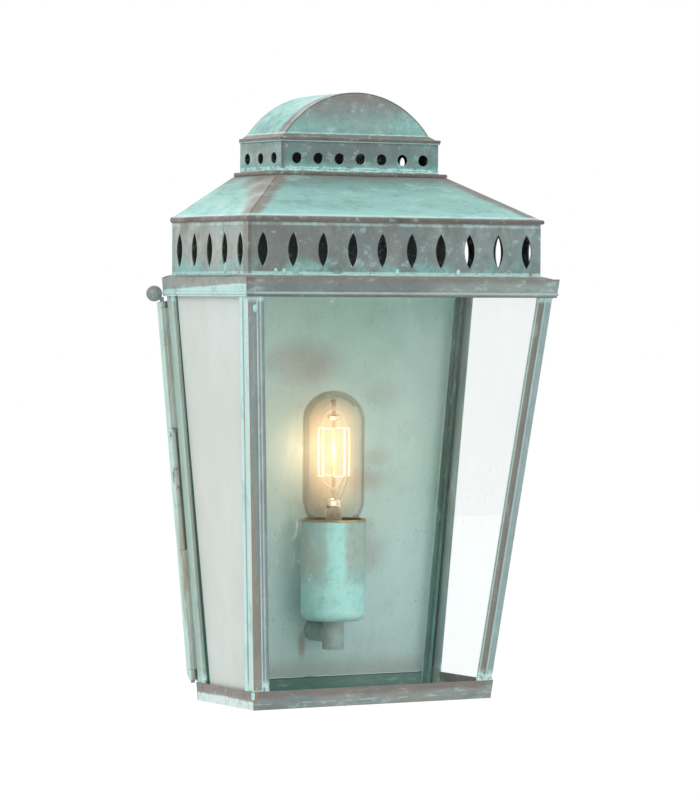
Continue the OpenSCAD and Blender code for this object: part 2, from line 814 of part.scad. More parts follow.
cap_r = 13.2;
cap_z = cup_z + 30.5;
cap_h = 25;
shell_t = 0.8;

// Porcelain body of the lampholder, standing on the cup's floor
module socket_insulator() {
    z0 = cup_z + cup_t + seat;
    body_r = cap_r + run * 2 + shell_t + seat + 4;
    bore_r = cap_r + run * 2 + shell_t + seat;
    floor_z = cap_z - 6;
    hung(porcelain) translate(lamp_at) difference() {
        union() {
            translate([0, 0, z0]) cylinder(r = body_r - 3, h = 10);
            translate([0, 0, z0 + 9]) cylinder(r = body_r, h = cap_z + cap_h - 4 - z0 - 9);
        }
        translate([0, 0, floor_z]) cylinder(r = bore_r, h = cap_h + 10);
        translate([0, 0, z0 - past]) cylinder(d = nipple_d + 2 * seat, h = 14);
        translate([0, 0, z0 - past]) cylinder(r = 2.2, h = 40);
    }
}

// Sleeve that takes the lamp's cap
module socket_shell() {
    z0 = cap_z - 6 + seat;
    r = cap_r + run * 2;
    hung(brass) translate(lamp_at) difference() {
        translate([0, 0, z0]) cylinder(r = r + shell_t, h = cap_z + cap_h - 5 - z0);
        translate([0, 0, z0 + shell_t]) cylinder(r = r, h = cap_h + 10);
        translate([0, 0, z0 - past]) cylinder(r = 5.5, h = 4);
    }
}

// Contact on a screw through the porcelain, under the cap's tip
module centre_contact() {
    tip = cap_z - free;
    hung(brass) translate(lamp_at) {
        translate([0, 0, cap_z - 10]) cylinder(r = 2.1, h = tip - cap_z + 10);
        translate([0, 0, cap_z - 6 + seat]) cylinder(r = 4.5, h = 1);
    }
}

bulb_wall = 0.8;
mount_rod = 1.5;

// Outline of the bulb from its neck to its crown, drawn in by a wall
function bulb_side(in) = let (
        r = bulb_d / 2,
        neck_r = cap_r - 0.9,
        z1 = cup_top + 17,
        zc = cup_top + bulb_out - r
    ) concat(
        [[neck_r - in, cap_z + cap_h - 6], [neck_r - in, cap_z + cap_h]],
        [for (i = [1:11]) let (k = i / 12, e = (1 - cos(180 * k)) / 2)
            [neck_r + (r - neck_r) * e - in, cap_z + cap_h + (z1 - cap_z - cap_h) * k]],
        [for (a = [0:7.5:90]) [(r - in) * cos(a), zc + (r - in) * sin(a)]]
    );

// Clear tubular bulb with a round crown
module lamp_bulb() {
    foot = cap_z + cap_h - 6;
    hung(clear_glass) translate(lamp_at) rotate_extrude($fn = 64) difference() {
        polygon(concat([[0, foot]], bulb_side(0)));
        polygon(concat([[0, foot - past], [cap_r - 0.9 - bulb_wall, foot - past]], bulb_side(bulb_wall)));
    }
}

// Screw cap with its solder tip
module lamp_cap() {
    tip = 3;
    hung(brass) translate(lamp_at) difference() {
        union() {
            translate([0, 0, cap_z + tip]) cylinder(r = cap_r, h = cap_h - tip);
            translate([0, 0, cap_z + 1]) cylinder(r1 = 5.5, r2 = cap_r - 2, h = tip - 1 + seat);
            translate([0, 0, cap_z]) cylinder(r = 4.5, h = 1.2);
        }
        translate([0, 0, cap_z + tip + 1]) cylinder(r = cap_r - 0.9 + run, h = cap_h);
    }
}

filament_z = cup_top + 33;
filament_h = 36;

// Flared glass foot inside the bulb with the rod that carries the hooks
module lamp_mount() {
    z0 = cap_z + cap_h - 6;
    flare = cup_top + 6;
    rod_top = filament_z + filament_h + 20;
    hung(clear_glass) translate(lamp_at) {
        translate([0, 0, z0]) cylinder(r1 = cap_r - 0.9 - bulb_wall - seat, r2 = 6, h = 9);
        translate([0, 0, z0]) cylinder(r = 6, h = flare - z0);
        translate([0, 0, flare]) cylinder(r1 = 6, r2 = 2.4, h = 11);
        translate([0, 0, flare]) cylinder(r = mount_rod, h = rod_top - flare, $fn = 20);
        translate([0, 0, rod_top]) sphere(r = 2.2, $fn = 20);
    }
}

// Zigzag strands between upper and lower hooks
module lamp_filament() {
    wire = 0.5;
    r = filament_d / 2;
    step = 360 / strands;
    swing = 6;
    hub = mount_rod + wire / 2 + seat;
    ends = [filament_z, filament_z + filament_h];
    hung(glow) translate(lamp_at) for (i = [0:strands - 1]) {
        a = i * step;
        up = i % 2;
        p = [r * cos(a), r * sin(a), ends[0]];
        q = [r * cos(a + swing), r * sin(a + swing), ends[1]];
        wire_between(p, q, wire);
        if (i < strands - 1) {
            n = [r * cos(a + step + (1 - up) * swing), r * sin(a + step + (1 - up) * swing), ends[1 - up]];
            wire_between(up == 1 ? p : q, n, wire);
            m = ((up == 1 ? p : q) + n) / 2;
            k = hub / norm([m[0], m[1]]);
            wire_between(m, [k * m[0], k * m[1], m[2] + (up == 1 ? -4 : 8)], wire);
        }
    }
}

// Straight wire between two points
module wire_between(p, q, d) {
    v = q - p;
    translate(p) rotate([0, acos(v[2] / norm(v)), atan2(v[1], v[0])])
        translate([0, 0, -d / 2]) cylinder(d = d, h = norm(v) + d, $fn = 6);
}

fork_t = 1;
fork_h = 9;

// Frame on the right-hand edge of the pan at the catch, X pointing out
module at_catch() {
    translate([half_w(catch_z), 0, catch_z]) rotate([0, tilt, 0]) children();
}

// Threaded stud through the pan's right edge
module catch_stud() {
    hung(brass) at_catch() translate([0, -screw_y, 0]) rotate([0, 90, 0]) {
        translate([0, 0, -sheet_t - 2]) cylinder(d = stud_d, h = 11);
        translate([0, 0, -sheet_t - 2]) cylinder(d = stud_d + 4, h = 2 - seat);
    }
}

// Knurled nut that clamps the fork
module catch_nut() {
    nut_d = 9;
    nut_h = 5;
    ribs = 18;
    hung(brass) at_catch() translate([2 * seat + fork_t + free, -screw_y, 0])
        rotate([0, 90, 0]) difference() {
            union() {
                cylinder(d = nut_d - 0.8, h = nut_h);
                translate([0, 0, 0.5]) for (i = [0:ribs - 1]) rotate([0, 0, i * 360 / ribs])
                    translate([nut_d / 2 - 0.5, -0.35, 0]) cube([0.5, 0.7, nut_h - 1]);
            }
            translate([0, 0, -past]) cylinder(d = stud_d + 2 * run, h = nut_h + 2 * past);
        }
}

// Forked strap on the back right post that slips under the nut
module catch_fork() {
    slot = stud_d + 0.6;
    far = -post_y - post_leg + bead_w + 2 * free;
    near = -screw_y + 3.6;
    hung(verdigris) at_catch() difference() {
        translate([2 * seat, far, -fork_h / 2]) cube([fork_t, near - far, fork_h]);
        translate([-past, -screw_y, 0]) rotate([0, 90, 0]) cylinder(d = slot, h = 3 * past);
        translate([-past, -screw_y, -slot / 2]) cube([3 * past, pan_d, slot]);
    }
}

back_pan();
wall_bracket();
pan_screws();
terminal_block();
pan_knuckles();
arm_tube();
arm_nut();
wire_bush();
stem_tube();
stem_nipple();
holder_cup();
cup_rim();
socket_insulator();
socket_shell();
centre_contact();
catch_stud();
catch_nut();
post_front_left();
post_front_right();
post_back_left();
post_back_right();
base_tray();
cornice();
gallery();
eave_rim();
hip_roof();
collar_plate();
neck();
shoulder();
barrel_dome();
roof_back();
glass_front();
glass_left();
glass_right();
glazing_strips();
cage_knuckles();
catch_fork();
hinge_pin();
lamp_bulb();
lamp_cap();
lamp_mount();
lamp_filament();
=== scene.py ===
import math
import random

import bpy
from mathutils import Matrix, Vector


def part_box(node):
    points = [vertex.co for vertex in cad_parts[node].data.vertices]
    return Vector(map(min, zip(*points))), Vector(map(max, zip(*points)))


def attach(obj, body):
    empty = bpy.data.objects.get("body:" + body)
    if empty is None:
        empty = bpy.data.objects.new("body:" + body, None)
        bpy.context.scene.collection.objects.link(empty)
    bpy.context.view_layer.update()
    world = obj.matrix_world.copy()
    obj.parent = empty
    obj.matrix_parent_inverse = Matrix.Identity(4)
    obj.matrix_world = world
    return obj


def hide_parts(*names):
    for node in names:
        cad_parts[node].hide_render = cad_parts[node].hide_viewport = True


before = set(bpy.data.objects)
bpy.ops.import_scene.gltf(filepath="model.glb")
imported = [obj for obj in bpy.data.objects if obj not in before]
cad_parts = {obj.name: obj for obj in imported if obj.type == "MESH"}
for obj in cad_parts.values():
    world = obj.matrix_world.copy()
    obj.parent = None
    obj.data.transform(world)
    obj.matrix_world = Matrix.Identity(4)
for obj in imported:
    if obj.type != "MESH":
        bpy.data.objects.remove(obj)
print("stage: frame loaded")
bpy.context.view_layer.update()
scene = bpy.context.scene
scene.view_settings.view_transform = "Standard"


# Places, all read from the frame
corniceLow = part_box("cornice")[0]
galleryLow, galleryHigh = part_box("gallery")
roofLow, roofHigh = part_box("hip_roof")
neckLow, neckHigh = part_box("neck")
shoulderLow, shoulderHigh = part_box("shoulder")
domeLow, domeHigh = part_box("barrel_dome")
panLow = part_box("back_pan")[0]
cupLow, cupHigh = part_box("holder_cup")
capLow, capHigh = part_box("lamp_cap")
filamentLow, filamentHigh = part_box("lamp_filament")
trayLow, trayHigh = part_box("base_tray")
footZ = trayLow.z
collarLow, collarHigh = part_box("collar_plate")
lampAxis = Vector(((cupLow.x + cupHigh.x) / 2, (cupLow.y + cupHigh.y) / 2, 0))
filamentMid = (filamentLow.z + filamentHigh.z) / 2

# The cage's faces lean: half width and front at its foot and at the cornice, to the posts' corners
cage = {
    "lowHalf": 0.1012,
    "topHalf": 0.1283,
    "lowFront": -0.1029,
    "topFront": -0.1415,
}
cageTopZ = corniceLow.z
bandTop = trayHigh.z
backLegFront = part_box("post_back_left")[0].y


def halfWidth(z):
    return cage["lowHalf"] + (cage["topHalf"] - cage["lowHalf"]) * (z - bandTop) / (cageTopZ - bandTop)


def frontY(z):
    return cage["lowFront"] + (cage["topFront"] - cage["lowFront"]) * (z - bandTop) / (cageTopZ - bandTop)


# Camera at the photograph's place
view = {
    "azimuth": -30.0,
    "elevation": 1.43,
    "roll": 0.27,
    "distance": 3.0,
    "target": (0.0211, -0.0282, 0.0567),
    "lens": 179.5,
}


def makeCamera():
    a, e, r = (math.radians(view[k]) for k in ("azimuth", "elevation", "roll"))
    back = Vector((math.sin(a) * math.cos(e), -math.cos(a) * math.cos(e), math.sin(e)))
    right = (-back).cross(Vector((0, 0, 1))).normalized()
    up = right.cross(-back)
    rolledRight = right * math.cos(r) + up * math.sin(r)
    rolledUp = up * math.cos(r) - right * math.sin(r)
    data = bpy.data.cameras.new("camera")
    data.lens = view["lens"]
    data.sensor_width = 36
    camera = bpy.data.objects.new("camera", data)
    scene.collection.objects.link(camera)
    turn = Matrix((rolledRight, rolledUp, back)).transposed().to_4x4()
    camera.matrix_world = Matrix.Translation(Vector(view["target"]) + back * view["distance"]) @ turn
    scene.camera = camera


makeCamera()
print("stage: camera")


# Node helpers: a small vocabulary for the materials below
class Paint:
    def __init__(self, name):
        self.material = bpy.data.materials.new(name)
        self.material.use_nodes = True
        self.tree = self.material.node_tree
        self.tree.nodes.clear()
        self.output = self.node("ShaderNodeOutputMaterial")
        self.coords = self.node("ShaderNodeTexCoord").outputs["Object"]
        place = self.node("ShaderNodeSeparateXYZ")
        self.link(self.coords, place.inputs[0])
        self.x, self.y, self.z = place.outputs
        facing = self.node("ShaderNodeSeparateXYZ")
        self.link(self.coords.node.outputs["Normal"], facing.inputs[0])
        self.nx, self.ny, self.nz = facing.outputs

    def node(self, kind, **settings):
        made = self.tree.nodes.new(kind)
        for key, value in settings.items():
            setattr(made, key, value)
        return made

    def link(self, source, socket):
        self.tree.links.new(source, socket)

    def feed(self, value, socket):
        # A colour may be given by its name in copper or by its code
        if isinstance(value, str):
            value = copper.get(value) or srgb(value)
        if isinstance(value, bpy.types.NodeSocket):
            self.link(value, socket)
        elif isinstance(value, (tuple, list)) and len(value) == 3 and socket.type == "RGBA":
            socket.default_value = (*value, 1)
        else:
            socket.default_value = value

    def shader(self, kind, **inputs):
        made = self.node("ShaderNode" + kind)
        for key, value in inputs.items():
            self.feed(value, made.inputs[key])
        return made

    def show(self, shader):
        self.link(shader.outputs[0], self.output.inputs[0])
        return self.material

    def math(self, operation, a, b=0.0, clamp=False):
        made = self.node("ShaderNodeMath", operation=operation, use_clamp=clamp)
        self.feed(a, made.inputs[0])
        self.feed(b, made.inputs[1])
        return made.outputs[0]

    def ramp(self, value, start, end, low=0.0, high=1.0):
        made = self.node("ShaderNodeMapRange", interpolation_type="SMOOTHSTEP", clamp=True)
        self.feed(value, made.inputs["Value"])
        self.feed(start, made.inputs["From Min"])
        self.feed(end, made.inputs["From Max"])
        self.feed(low, made.inputs["To Min"])
        self.feed(high, made.inputs["To Max"])
        return made.outputs["Result"]

    def band(self, value, middle, half, soft):
        rise = self.ramp(value, middle - half - soft, middle - half)
        fall = self.ramp(value, middle + half, middle + half + soft, 1.0, 0.0)
        return self.math("MULTIPLY", rise, fall)

    def stretched(self, scale, shift=(0, 0, 0)):
        made = self.node("ShaderNodeMapping")
        self.link(self.coords, made.inputs["Vector"])
        made.inputs["Scale"].default_value = scale
        made.inputs["Location"].default_value = shift
        return made.outputs[0]

    def noise(self, scale, detail=4.0, rough=0.55, vector=None, distort=0.0):
        made = self.node("ShaderNodeTexNoise")
        self.link(vector or self.coords, made.inputs["Vector"])
        made.inputs["Scale"].default_value = scale
        made.inputs["Detail"].default_value = detail
        made.inputs["Roughness"].default_value = rough
        made.inputs["Distortion"].default_value = distort
        return made.outputs["Fac"]

    def mix(self, mask, first, second):
        made = self.node("ShaderNodeMix", data_type="RGBA")
        self.feed(mask, made.inputs["Factor"])
        self.feed(first, made.inputs[6])
        self.feed(second, made.inputs[7])
        return made.outputs[2]

    def tint(self, colour, mask, tone, strength=1.0):
        return self.mix(self.math("MULTIPLY", mask, strength), colour, tone)

    def lay(self, mask, tone, strength=1.0):
        self.colour = self.tint(self.colour, mask, tone, strength)

    def joined(self, operation, masks):
        result = masks[0]
        for mask in masks[1:]:
            result = self.math(operation, result, mask)
        return result

    def times(self, *masks):
        return self.joined("MULTIPLY", masks)

    def most(self, *masks):
        return self.joined("MAXIMUM", masks)

    def plus(self, *values):
        return self.joined("ADD", values)

    def minus(self, first, second):
        return self.math("SUBTRACT", first, second)

    def rest(self, share):
        return self.minus(1.0, share)

    def size(self, value):
        return self.math("ABSOLUTE", value)

    def blend(self, share, first, second):
        made = self.node("ShaderNodeMixShader")
        self.feed(share, made.inputs[0])
        self.link(first.outputs[0], made.inputs[1])
        self.link(second.outputs[0], made.inputs[2])
        return made

    def patch(self, scale, start, end, shift=(0, 0, 0), stretch=(1, 1, 1), distort=0.4):
        return self.ramp(
            self.noise(scale, 5, 0.6, self.stretched(stretch, shift), distort), start, end
        )

    def bump(self, height, strength, distance):
        made = self.node("ShaderNodeBump")
        made.inputs["Strength"].default_value = strength
        made.inputs["Distance"].default_value = distance
        self.feed(height, made.inputs["Height"])
        return made.outputs[0]

    def finish(self, colour, roughness, metallic, normal):
        shader = self.shader("BsdfPrincipled", Roughness=roughness, Metallic=metallic, Normal=normal)
        self.feed(colour, shader.inputs["Base Color"])
        return self.show(shader)


def srgb(code):
    channels = [int(code[i:i + 2], 16) / 255 for i in (0, 2, 4)]
    return tuple(c / 12.92 if c <= 0.04045 else ((c + 0.055) / 1.055) ** 2.4 for c in channels)


# Colours of the weathered copper
copper = {
    "verdigris": srgb("9DCFC7"),
    "pale": srgb("CFF0E9"),
    "deep": srgb("82AFA8"),
    "slate": srgb("889897"),
    "dove": srgb("A4AAA4"),
    "brown": srgb("8B7E76"),
    "umber": srgb("65564F"),
    "rust": srgb("A98264"),
    "shade": srgb("5F8378"),
    # Painted shade, laid on insides and on faces turned down
    "darkShade": srgb("18211E"),
    # Painted shade, laid on faces turned to the front
    "gloom": srgb("343B39"),
    "grit": srgb("5C625E"),
}
# A sheet counts as turned to the left or to the front between these shares of its normal
square = (-0.5, -0.8)


def weathered(name, base, second, spread=(0.42, 0.6), brown=(0.60, 0.74), seed=0.0, stretch=(1, 1, 1),
              marks=None, rough=0.58, wisp=0.3, gloom=0.46, grain=1.0):
    # Cloudy mix of two patina colours, brown oxide patches, the piece's own marks, then grit
    # and specks; painted shade greys the faces turned to the front
    paint = Paint(name)
    cloud = paint.patch(22, spread[0], spread[1], (seed, seed * 1.7, seed * 0.6), stretch)
    paint.colour = paint.mix(cloud, base, second)
    paint.lay(paint.patch(80, 0.5, 0.75, (seed * 2, 0, seed), stretch), "pale", wisp)
    paint.lay(paint.patch(30, brown[0], brown[1], (seed, 3 + seed, 1), stretch, 0.8), "brown", 0.7)
    if gloom:
        forward = paint.ramp(paint.ny, -0.35, -0.8)
        uneven = paint.times(forward, paint.patch(12, 0.25, 0.6, (seed, 1, 1), stretch), 0.55)
        paint.lay(paint.plus(0.45, uneven), "gloom", paint.times(forward, gloom))
    if marks:
        marks(paint)
    # Painted shade on the faces turned to the front, laid again over the marks
    if gloom:
        paint.lay(forward, "gloom", gloom * 0.55)
    grit = paint.noise(125, 8, 0.76, paint.stretched(stretch, (seed, 9, 4)), 0.15)
    paint.lay(paint.ramp(grit, 0.50, 0.64), "grit", 0.32 * grain)
    paint.lay(paint.ramp(grit, 0.46, 0.36), "pale", 0.26 * grain)
    paint.lay(paint.ramp(paint.noise(650, 2, 0.5), 0.68, 0.76), "pale", 0.3)
    paint.lay(paint.ramp(paint.noise(420, 3, 0.6), 0.30, 0.38, 1.0, 0.0), "umber", 0.25)
    shine = paint.ramp(paint.noise(60, 3, 0.5), 0.3, 0.7, rough - 0.1, rough + 0.12)
    height = paint.plus(paint.times(paint.noise(150, 5, 0.6), 0.6), paint.times(cloud, 0.2))
    return paint.finish(paint.colour, shine, 0.12, paint.bump(height, 0.25, 0.0012))


def dress(names, material):
    for name in names:
        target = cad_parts[name]
        target.data.materials.clear()
        target.data.materials.append(material)


def insideDark(paint, frontY):
    # Painted shade: the sheets that are seen from within through the vents, and faces turned down, are
    # darkened
    inward = paint.ramp(paint.times(paint.nx, paint.x), -0.004, -0.010)
    behind = paint.times(paint.ramp(paint.ny, 0.4, 0.6),
                         paint.ramp(paint.y, frontY + 0.0002, frontY + 0.0005))
    under = paint.ramp(paint.nz, -0.25, -0.5)
    dark = paint.most(inward, behind, under)
    paint.lay(dark, "darkShade")


def ventEdges(paint, frontY, faceX):
    # Bright cut metal round the vents, on the thickness of the front and the side sheets
    front = paint.times(paint.ramp(paint.y, frontY + 0.001, frontY + 0.0008),
                        paint.ramp(paint.size(paint.ny), 0.7, 0.4))
    within = paint.ramp(paint.size(paint.x), faceX - 0.003, faceX - 0.0035)
    paint.lay(paint.times(front, within), "pale", 0.75)


def galleryMarks(paint):
    height = paint.minus(paint.z, galleryLow.z)
    side = paint.ramp(paint.nx, *square)
    # Painted light makes the left-facing side lighter; the streaks on it are the patina's own
    paint.lay(side, "B7BBB3", 0.6)
    streaks = paint.patch(36, 0.42, 0.62, (4, 1, 2), (1, 1, 0.12))
    paint.lay(paint.times(side, streaks), "C9CDC6", 0.6)
    right = paint.ramp(paint.x, -0.05, 0.10)
    paint.lay(right, "8CA29F", 0.65)
    left = paint.times(paint.ramp(paint.x, -0.02, -0.11), paint.ramp(paint.ny, *square))
    paint.lay(left, "8A8C87", 0.55)
    low = paint.times(paint.ramp(height, 0.016, 0.003), paint.patch(44, 0.44, 0.62))
    paint.lay(low, "8FCFC7", 0.8)
    crust = paint.times(paint.ramp(height, 0.0026, 0.0014), paint.patch(150, 0.34, 0.5))
    paint.lay(crust, "pale", 0.9)
    # Painted highlight: a pale line just under the eave, in patches
    eave = paint.times(paint.band(height, 0.0362, 0.0006, 0.0008), paint.patch(60, 0.3, 0.5))
    paint.lay(eave, "pale", 0.55)
    stain = paint.times(paint.ramp(height, 0.018, 0.034),
                        paint.patch(50, 0.48, 0.62, (9, 2, 1), (1, 1, 0.35)))
    paint.lay(stain, "6F6A64", 0.45)
    corner = paint.times(paint.band(paint.x, galleryLow.x + 0.0012, 0.0012, 0.0014),
                         paint.ramp(paint.ny, *square))
    paint.lay(corner, "umber", 0.65)
    edge = paint.times(paint.band(paint.y, galleryLow.y + 0.0035, 0.0028, 0.0012), side)
    paint.lay(edge, "brown", 0.55)
    ventEdges(paint, galleryLow.y, galleryHigh.x)
    insideDark(paint, galleryLow.y)


def roofMarks(paint):
    # Dull at the top, bright at the eaves, brown along the hips
    height = paint.minus(paint.z, roofLow.z)
    paint.lay(paint.ramp(height, 0.014, 0.032), "68827E", 0.8)
    paint.lay(paint.ramp(height, 0.010, 0.001), "A8DCD5", 0.7)
    rise = roofHigh.z - roofLow.z
    fall = paint.minus(roofHigh.z, paint.z)
    hipX = paint.plus(collarHigh.x, paint.times(fall, (roofHigh.x - collarHigh.x) / rise))
    gapX = paint.minus(hipX, paint.size(paint.x))
    hipY = paint.plus(-collarLow.y, paint.times(fall, (collarLow.y - roofLow.y) / rise))
    gapY = paint.plus(hipY, paint.y)
    wobble = paint.times(paint.noise(34, 3, 0.6), 0.010)
    onSide = paint.ramp(paint.size(paint.nx), 0.2, 0.4)
    broad = paint.ramp(height, 0.0, 0.032, 0.008, 0.036)
    sideGap = paint.minus(gapY, wobble)
    sideBand = paint.times(onSide, paint.rest(paint.ramp(paint.math("DIVIDE", sideGap, broad), 0.2, 1.4)))
    paint.lay(sideBand, "9A8F87", 0.9)
    frontGap = paint.minus(gapX, wobble)
    frontBand = paint.times(paint.rest(onSide), paint.ramp(frontGap, 0.008, 0.001))
    paint.lay(frontBand, "brown", 0.85)
    line = paint.times(paint.ramp(gapX, 0.0009, 0.0003), paint.ramp(gapY, 0.002, 0.0012))
    paint.lay(line, "umber", 0.7)
    top = paint.times(paint.ramp(fall, 0.0045, 0.001), paint.patch(40, 0.3, 0.55))
    paint.lay(top, "brown", 0.6)
    lip = paint.ramp(height, 0.0018, 0.0010)
    paint.lay(lip, "pale", 0.7)
    # Painted shade: the faces turned down are darkened
    paint.lay(paint.ramp(paint.nz, -0.1, -0.3), "darkShade")


def domeMarks(paint):
    depth = paint.minus(paint.y, domeLow.y)
    height = paint.minus(paint.z, domeLow.z)
    paint.lay(paint.ramp(depth, 0.030, 0.012), "A9DAD2", 0.5)
    paint.lay(paint.ramp(depth, 0.0095, 0.0065), "A0A29C", 0.9)
    strap = paint.band(paint.plus(depth, paint.times(paint.noise(30, 3, 0.6), 0.003)), 0.0100, 0.0012,
                       0.0028)
    paint.lay(strap, "97817A", 0.85)
    face = paint.ramp(paint.ny, -0.6, -0.8)
    tone = paint.mix(paint.ramp(height, 0.003, 0.020), "8DBDB5", "8A9693")
    tone = paint.tint(tone, paint.times(paint.ramp(paint.x, 0.0, 0.045), paint.ramp(height, 0.022, 0.012)),
                      "92C6BE", 0.8)
    tone = paint.tint(tone, paint.ramp(height, 0.019, 0.029), "8E837C", 0.75)
    tone = paint.tint(tone, paint.patch(45, 0.46, 0.66), "dove", 0.35)
    paint.lay(face, tone)
    paint.lay(paint.ramp(height, 0.0015, 0.0007), "pale", 0.8)
    # Painted shade darkens faces turned to the back behind the front sheet, faces turned inwards and faces
    # turned down
    inner = paint.times(paint.ramp(paint.ny, 0.4, 0.7), paint.ramp(depth, 0.0002, 0.0005))
    hollow = paint.ramp(paint.times(paint.nx, paint.x), -0.002, -0.006)
    under = paint.ramp(paint.nz, -0.1, -0.3)
    dark = paint.most(inner, hollow, under)
    paint.lay(dark, "darkShade")


def neckMarks(paint):
    height = paint.minus(paint.z, neckLow.z)
    side = paint.ramp(paint.nx, *square)
    # Painted light makes the left-facing side lighter; the brown patches on it are the patina's own
    paint.lay(side, "B2C3BB", 0.65)
    paint.lay(paint.times(side, paint.patch(50, 0.5, 0.66, (2, 2, 2))), "A6938B", 0.6)
    paint.lay(paint.ramp(height, 0.012, 0.021), "7C8886", 0.4)
    foot = paint.times(paint.ramp(height, 0.0095, 0.003), paint.patch(60, 0.3, 0.5))
    paint.lay(foot, "82BDB8", 0.85)
    crust = paint.times(paint.ramp(height, 0.0045, 0.003), paint.patch(170, 0.40, 0.52))
    paint.lay(crust, "pale", 0.95)
    corner = paint.times(paint.band(paint.x, neckLow.x + 0.0012, 0.0010, 0.0012),
                         paint.ramp(paint.ny, *square))
    paint.lay(corner, "umber", 0.6)
    ventEdges(paint, neckLow.y, neckHigh.x)
    insideDark(paint, neckLow.y)


def shoulderMarks(paint):
    height = paint.minus(paint.z, shoulderLow.z)
    slope = paint.band(height, 0.0042, 0.0010, 0.0009)
    paint.lay(slope, "857B74", 0.85)
    paint.lay(paint.ramp(height, 0.0010, 0.0004), "pale", 0.5)
    shadow = paint.band(height, 0.0019, 0.0002, 0.0003)
    paint.lay(shadow, "umber", 0.5)
    # Painted shade: the faces turned down are darkened
    paint.lay(paint.ramp(paint.nz, -0.4, -0.7), "darkShade", 0.8)


def collarMarks(paint):
    paint.lay(paint.ramp(paint.nz, 0.5, 0.8), "A39F97", 0.8)
    line = paint.band(paint.z, (collarLow.z + collarHigh.z) / 2 + 0.0004, 0.0002, 0.0003)
    paint.lay(paint.times(line, paint.patch(40, 0.3, 0.5)), "pale", 0.7)


def corniceMarks(paint):
    height = paint.minus(paint.z, corniceLow.z)
    wobble = paint.times(paint.noise(26, 3, 0.6), 0.0035)
    drift = paint.minus(height, wobble)
    right = paint.ramp(paint.x, -0.02, 0.10)
    paint.lay(right, "9DB5AF", 0.5)
    paint.lay(paint.ramp(drift, 0.0065, 0.0110), "87807A", 0.85)
    # Painted highlight along the bead near the cornice's foot
    bead = paint.band(height, 0.0027, 0.0005, 0.0006)
    paint.lay(bead, "BFD0CE", 0.75)
    paint.lay(paint.ramp(height, 0.0014, 0.0004), "umber", 0.6)
    left = paint.ramp(paint.nx, *square)
    # Painted light: the left-facing side is lighter
    paint.lay(left, "ABAFA7", 0.7)
    slant = paint.plus(drift, paint.times(paint.plus(paint.y, 0.08), 0.035))
    paint.lay(paint.times(left, paint.ramp(slant, 0.0062, 0.0048)), "CFF3EE", 0.95)
    ledge = paint.times(paint.ramp(height, 0.0150, 0.0156), paint.patch(150, 0.36, 0.5))
    paint.lay(ledge, "pale", 0.8)
    edge = paint.band(paint.x, corniceLow.x + 0.0036, 0.0030, 0.0010)
    front = paint.ramp(paint.ny, *square)
    paint.lay(paint.times(edge, front), "umber", 0.35)
    # Painted shade: faces turned inwards or to the back are darkened
    inward = paint.ramp(paint.times(paint.nx, paint.x), -0.004, -0.010)
    behind = paint.ramp(paint.ny, 0.4, 0.6)
    paint.lay(paint.most(inward, behind), "darkShade", 0.9)


def trayMarks(paint):
    height = paint.minus(paint.z, footZ)
    wobble = paint.times(paint.noise(30, 3, 0.6), 0.004)
    drift = paint.minus(height, wobble)
    paint.lay(paint.ramp(drift, 0.0045, 0.0085), "82766F", 0.85)
    left = paint.ramp(paint.nx, *square)
    paint.lay(left, "9E948B", 0.6)
    low = paint.ramp(drift, 0.0052, 0.0034)
    paint.lay(paint.times(left, low), "EAFBF8", 0.95)
    corner = paint.times(paint.band(paint.x, trayLow.x + 0.0022, 0.0016, 0.0010),
                         paint.ramp(paint.ny, *square))
    paint.lay(corner, "rust", 0.6)
    line = paint.times(paint.band(height, 0.0042, 0.0002, 0.0003), paint.patch(50, 0.45, 0.6, (3, 0, 0)))
    paint.lay(line, "pale", 0.5)
    inner = paint.ramp(paint.y, -0.018, -0.0165)
    paint.lay(inner, "5F9C90", 0.85)
    rim = paint.times(inner, paint.ramp(height, 0.0120, 0.0128))
    paint.lay(rim, "35554C", 0.9)
    inside = paint.times(paint.ramp(paint.nx, 0.5, 0.8), paint.ramp(paint.x, 0.0, -0.05))
    paint.lay(inside, "shade", 0.7)


